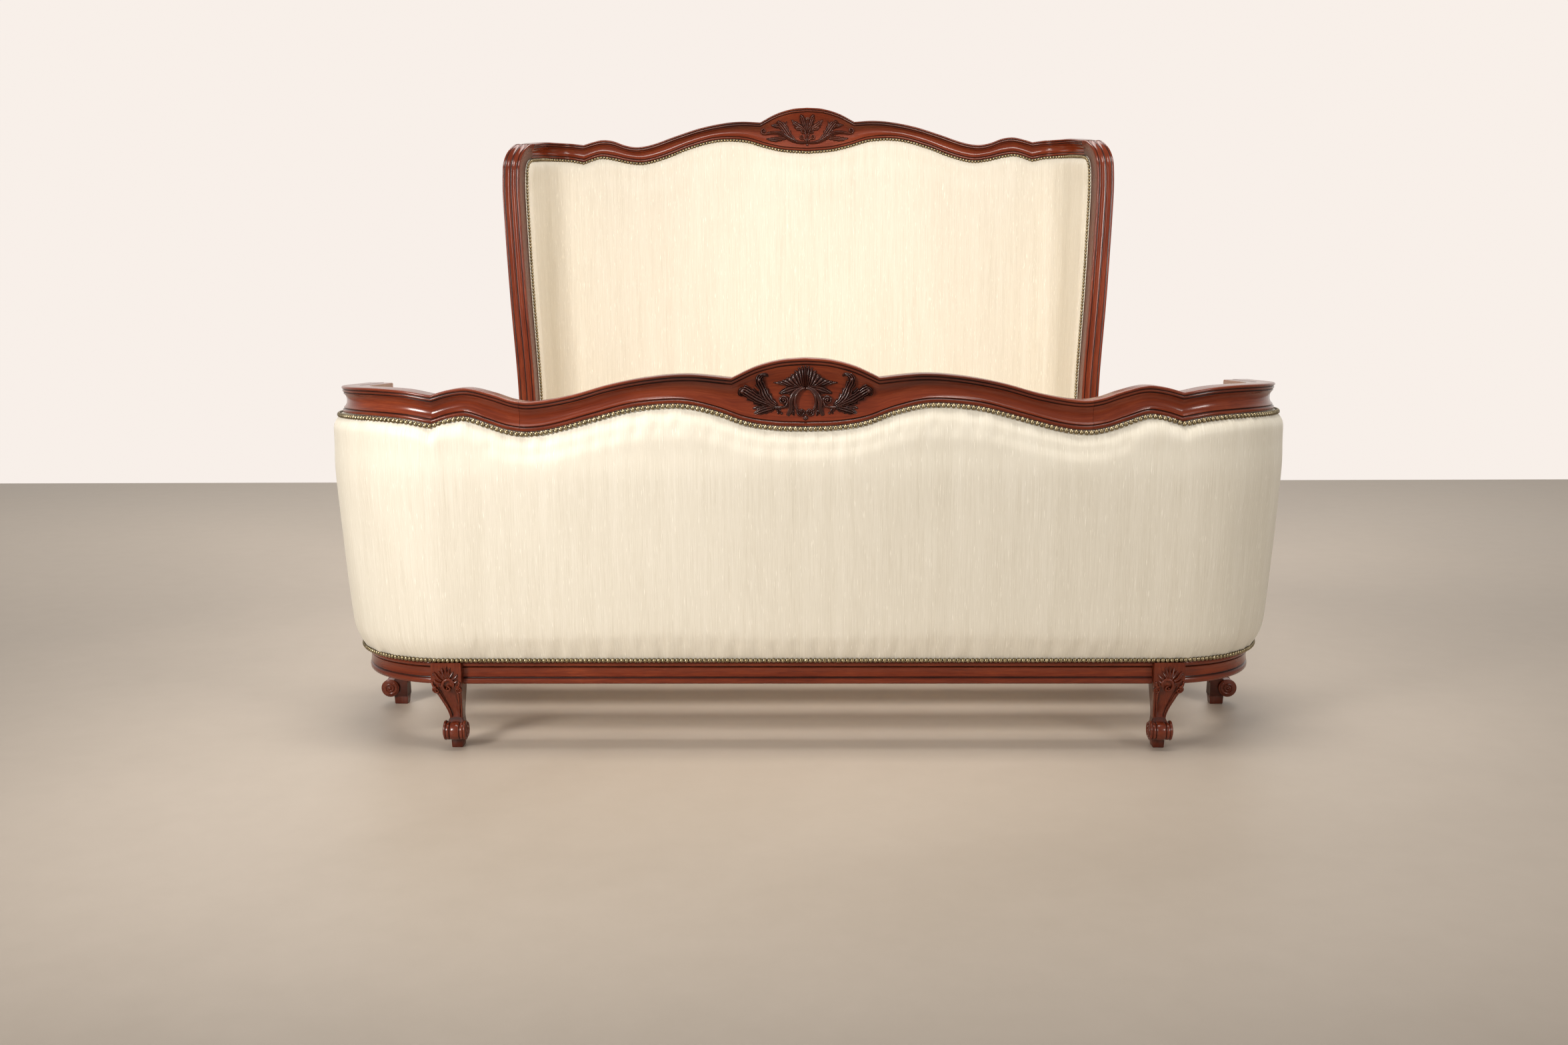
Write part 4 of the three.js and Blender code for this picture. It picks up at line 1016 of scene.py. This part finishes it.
def pad(name, reach, row_of, back_of, node, rows, puckers, fine, seed, swell=0.0, coarse=14,
        shade=(0.3, 0.3), folds=()):
    """A closed, crowned pad from column reach[0] to reach[1]. row_of(c, t) is its outer skin from the
    lower to the upper edge, and back_of(c) the two points behind. fine is the width of a column.
    With swell, a coarser copy of the skin is simulated and its moves are added, up to swell.
    shade darkens the lower and the upper edge. folds are (place, depth, width, length)."""
    low, high = reach
    n, m = round((high - low) / fine), rows
    cs, ts = np.linspace(low, high, n), np.linspace(0, 1, m)
    ts = ts + 0.055 * np.sin(2 * np.pi * ts)  # closer rows at both edges
    grid = np.array([[row_of(c, t) for t in ts] for c in cs])
    back = np.array([back_of(c) for c in cs])
    if swell:
        ci = np.linspace(0, n - 1, round((high - low) / coarse)).round().astype(int)
        cj = np.linspace(0, m - 1, CLOTH_ROWS).round().astype(int)
        grid = grid + resample(relaxed(grid[ci][:, cj], back[ci], swell), n, m)
    normal = np.cross(np.gradient(grid, axis=0), np.gradient(grid, axis=1))
    normal /= np.linalg.norm(normal, axis=2, keepdims=True) + 1e-9
    outward = grid[n // 2, m // 2] - back[n // 2].mean(axis=0)
    if np.dot(normal[n // 2, m // 2], outward) < 0:
        normal = -normal
    up = run(grid[n // 2])
    down = up[-1] - up
    creases = pucker_field(n, down, 22, puckers, seed)
    creases += pucker_field(n, up, 17, puckers * 1.1, seed + 1)
    for place, depth, width, length in folds:
        dent = np.exp(-((cs - place) / width) ** 2)[:, None] * np.exp(-down / length)[None, :]
        creases -= depth * dent
    slow = np.random.default_rng(seed + 2).normal(0, 1, (n // 12 + 2, 5, 1))
    slow = resample(np.repeat(slow, 3, axis=2), n, m)[:, :, 0]
    edge_fade = np.minimum(1, np.minimum(up, down) / 60)[None, :]
    grid = grid + normal * (creases + 0.35 * slow * edge_fade)[:, :, None]
    along = run(grid[:, m // 2])
    rings = np.concatenate([grid, back], axis=1)
    behind = rings.shape[1] - m
    threads = list(up) + [up[-1] + 20 * (k + 1) for k in range(behind)]
    # Painted shade, strongest at the lower and upper edges and fading over SHADE_REACH.
    dirt_and_shade_share = shade[0] * np.exp(-up / SHADE_REACH) + shade[1] * np.exp(-down / SHADE_REACH)
    part = Part()
    part.shell(rings, np.concatenate([dirt_and_shade_share, np.ones(behind)]),
               [(across, thread, seed * 31.0) for across in along for thread in threads])
    piece = part.build(name, silk, [node], sharp=70)


def pads():
    def foot_high(s):
        return foot_bottom(s) - TUCK

    def foot_outer(s, t):
        low, high = PAD_LOW, foot_high(s)
        z = low + (high - low) * t
        u = min((high - z) / 34, 1)
        top = 3 + (foot_belly(high - 34) - 3) * math.sin(u * math.pi / 2) ** 1.15
        d = top if u < 1 else foot_belly(z)
        end = ease((PAD_END - abs(s)) / 22)
        return foot_point(s, -26 + (d + 26) * (0.35 + 0.65 * end) if end < 1 else d, z)

    inner = smooth([[0, -86], [25, -90], [210, -87], [440, -79], [470, -76], [500, -68], [520, -58]])

    def foot_inner(s, t):
        return foot_point(s, inner(t * 520), PAD_LOW + (foot_high(s) - PAD_LOW) * t)

    def behind(point, high, top_d, low_d):
        return lambda s: [point(s, top_d, high(s)), point(s, low_d, PAD_LOW)]

    foot = (-PAD_END, PAD_END)
    pad("foot_outer_pad", foot, foot_outer, behind(foot_point, foot_high, -26, -50),
        "foot_outer_upholstery", 84, 1.4, 6, 3, swell=3.0, shade=(0.5, 0.25),
        folds=((-FOOT_CUSP, 2.0, 7, 45), (FOOT_CUSP, 3.2, 8, 55), (-790, 1.0, 6, 30), (742, 1.2, 6, 35)))
    pad("foot_inner_pad", foot, foot_inner, behind(foot_point, foot_high, -46.5, -74.5),
        "foot_inner_upholstery", 50, 0.6, 10, 9)

    # Under the curl of each wing post the padding's upper edge drops with it.
    reach = HEAD_END - (POST_DEPTH + GAP) / math.cos(WING_FLARE)

    def head_high(c):
        if abs(c) <= CURL_S:
            return head_bottom(c) - GAP
        y = ARC_END_Y - (abs(c) - HEAD_STRAIGHT - HEAD_ARC) * math.cos(WING_FLARE)
        r = SHOULDER - POST_DEPTH - GAP
        return WING_TOP - SHOULDER + math.sqrt(max(0, r * r - (WING_Y + SHOULDER - y) ** 2))

    def head_inner(c, t):
        low, high = PAD_LOW, head_high(c)
        z = low + (high - low) * t
        u = min((high - z) / 30, 1)
        d = -4 + 17 * math.sin(u * math.pi / 2) ** 0.8
        d -= 9 * (1 - ease((z - low) / 30))
        end = ease((reach - abs(c)) / 24)
        return head_point(c, -6 + (d + 6) * (0.25 + 0.75 * end) if end < 1 else d, z)

    def head_cover(c, t):
        d = -50 + 3.5 * (1 - math.sin(math.pi * min(max(t, 0), 1)) ** 0.3)
        return head_point(c, d, PAD_LOW + (head_high(c) - PAD_LOW) * t)

    pad("head_inner_pad", (-reach, reach), head_inner, behind(head_point, head_high, -15, -15),
        "head_inner_upholstery", 110, 0.6, 8, 17, swell=2.5, coarse=18, shade=(0.3, 0.9))
    pad("head_back_cover", (-reach, reach), head_cover, behind(head_point, head_high, -38.5, -38.5),
        "head_outer_upholstery", 60, 0.3, 14, 23)

    # Section of a strip on a side rail, from its lower outer edge over the rail's top: [x, z].
    shape = [(916.5, 189.5), (919, 189.5), (923.5, 196), (925.8, 209), (926.6, 240), (926.8, 290),
             (926.2, 325), (925, 337), (922, 346), (917, 351.5), (911, 353.5), (900, 354), (893, 353.4),
             (890, 351.5)]
    count = len(shape) - 1
    for name, side in SIDES:
        def strip(y, t):
            i = min(int(t * count), count - 1)
            u = t * count - i
            (x0, z0), (x1, z1) = shape[i], shape[i + 1]
            return (side * (x0 + (x1 - x0) * u), y, z0 + (z1 - z0) * u)

        def strip_back(y):
            return [(side * RAIL_IN, y, RAIL_TOP + GAP), (side * (RAIL_OUT + GAP), y, RAIL_TOP + GAP)]

        pad("side_pad_" + name, (FOOT_END_Y + RAIL_ENDS, WING_Y - RAIL_ENDS), strip, strip_back,
            "side_upholstery_" + name, 40, 0.35, 12, 31 + side)


pads()

# ---------------------------------------------------------------- plain parts kept from the CAD
KEPT = {
    mahogany_upright: ["foot_end_post_left", "foot_end_post_right", "head_leg_rear_left",
                       "head_leg_rear_right"],
    mahogany_level: ["head_base_rail"],
    beech: ["foot_frame", "head_frame", "side_cleat_left", "side_cleat_right"],
    pine: ["cross_bar_1", "cross_bar_2", "cross_bar_3"] + ["slat_%02d" % (i + 1) for i in range(10)],
    pine_long: ["base_batten_left", "base_batten_right"],
    steel: ["foot_rail_hook_left", "foot_rail_hook_right", "head_rail_hook_left",
            "head_rail_hook_right"],
}
for material, nodes in KEPT.items():
    for node in nodes:
        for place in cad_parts[node].material_slots:
            place.material = material


# ---------------------------------------------------------------- stage, light and camera
FLOOR_END = 3.62  # metres behind the origin: where the floor meets the wall in view


def backdrop():
    f = Finish("studio_floor")
    where = f.node("TexCoord", 3)
    cloud = f.noise(where, (0.55, 0.55, 0.55), 1.0, 5.0, 0.6, 0.6)
    fine = f.noise(where, (14, 14, 14), 1.0, 5.0)
    colour = f.ramp(f.total((cloud, 0.8), (fine, 0.2)), (0.3, (0.39, 0.330, 0.270)),
                    (0.7, (0.47, 0.405, 0.340)))
    f.surface(Base_Color=colour, Roughness=f.span(cloud, 0.3, 0.7, 0.42, 0.54), Specular_IOR_Level=0.5)
    mesh = bpy.data.meshes.new("floor")
    corners = [(-14, -16, 0), (14, -16, 0), (14, FLOOR_END, 0), (-14, FLOOR_END, 0)]
    mesh.from_pydata(corners, [], [(0, 1, 2, 3)])
    mesh.materials.append(f.owner)
    floor = bpy.data.objects.new("floor", mesh)
    bpy.context.scene.collection.objects.link(floor)

    # The camera sees an even pale wall. What lights and reflects is bright towards the head end and
    # dimmer elsewhere.
    f = Finish("studio", bpy.data.worlds.new("studio"))
    bpy.context.scene.world = f.owner
    towards_head = f.node("SeparateXYZ", 1, i0=f.node("TexCoord", 0))
    level = f.span(towards_head, 0.10, 0.90, 0.34, 0.88, {"interpolation_type": "SMOOTHSTEP"})
    soft = f.node("Background", i0=(1.0, 0.95, 0.89, 1), i1=level)
    seen = f.node("Background", i0=(0.940, 0.868, 0.815, 1))
    f.node("OutputWorld", Surface=f.node("MixShader", i0=f.node("LightPath"), i1=soft, i2=seen))


def lamp(name, place, target, size, power, colour, spread):
    data = bpy.data.lights.new(name, "AREA")
    data.shape = "RECTANGLE"
    data.size, data.size_y = size
    data.energy = power
    data.color = colour
    data.spread = math.radians(spread)
    light = bpy.data.objects.new(name, data)
    light.location = place
    light.rotation_mode = "QUATERNION"
    light.rotation_quaternion = (Vector(target) - Vector(place)).to_track_quat("-Z", "Y")
    bpy.context.scene.collection.objects.link(light)


def camera():
    data = bpy.data.cameras.new("camera")
    data.lens, data.sensor_width = 35, 36
    cam = bpy.data.objects.new("camera", data)
    yaw, pitch, roll = 0.018468, 0.148853, -0.004851
    ahead = Vector((-math.sin(yaw) * math.cos(pitch), math.cos(yaw) * math.cos(pitch), -math.sin(pitch)))
    right = Vector((math.cos(yaw), math.sin(yaw), 0))
    up = right.cross(ahead)
    across = right * math.cos(roll) + up * math.sin(roll)
    upward = up * math.cos(roll) - right * math.sin(roll)
    turn = Matrix((across, upward, -ahead)).transposed().to_4x4()
    # 3.1 m in front of the footboard and just under 1 m above the floor.
    cam.matrix_world = Matrix.Translation((0.0125, foot_box[0].y - 3.10, 0.9557)) @ turn
    bpy.context.scene.collection.objects.link(cam)
    bpy.context.scene.camera = cam


backdrop()
# [name, place, target, size, power, colour, spread in degrees]
for each in (
    ("key", (-2.4, -3.6, 1.7), (-0.6, -1.0, 0.6), (0.9, 0.9), 14.5, (1.0, 0.96, 0.92), 60),
    ("fill", (2.5, -3.5, 1.6), (0.6, -1.0, 0.6), (0.9, 0.9), 4.5, (1.0, 0.96, 0.92), 60),
    ("pool", (0.0, -1.25, 3.4), (0.0, -1.0, 0.0), (2.2, 0.7), 12.5, (1.0, 0.96, 0.91), 65),
    ("head_key", (-1.0, -1.5, 2.7), (0.0, 1.0, 0.9), (1.0, 0.8), 9.0, (1.0, 0.95, 0.90), 80),
    ("head_fill", (1.0, -1.5, 2.7), (0.0, 1.0, 0.9), (1.0, 0.8), 9.5, (1.0, 0.95, 0.90), 80),
    ("overhead", (-0.3, 2.3, 3.8), (-0.3, 2.0, 0.0), (5.5, 1.8), 85, (1.0, 0.96, 0.92), 140),
):
    lamp(*each)
camera()
bpy.context.scene.view_settings.view_transform = "Standard"
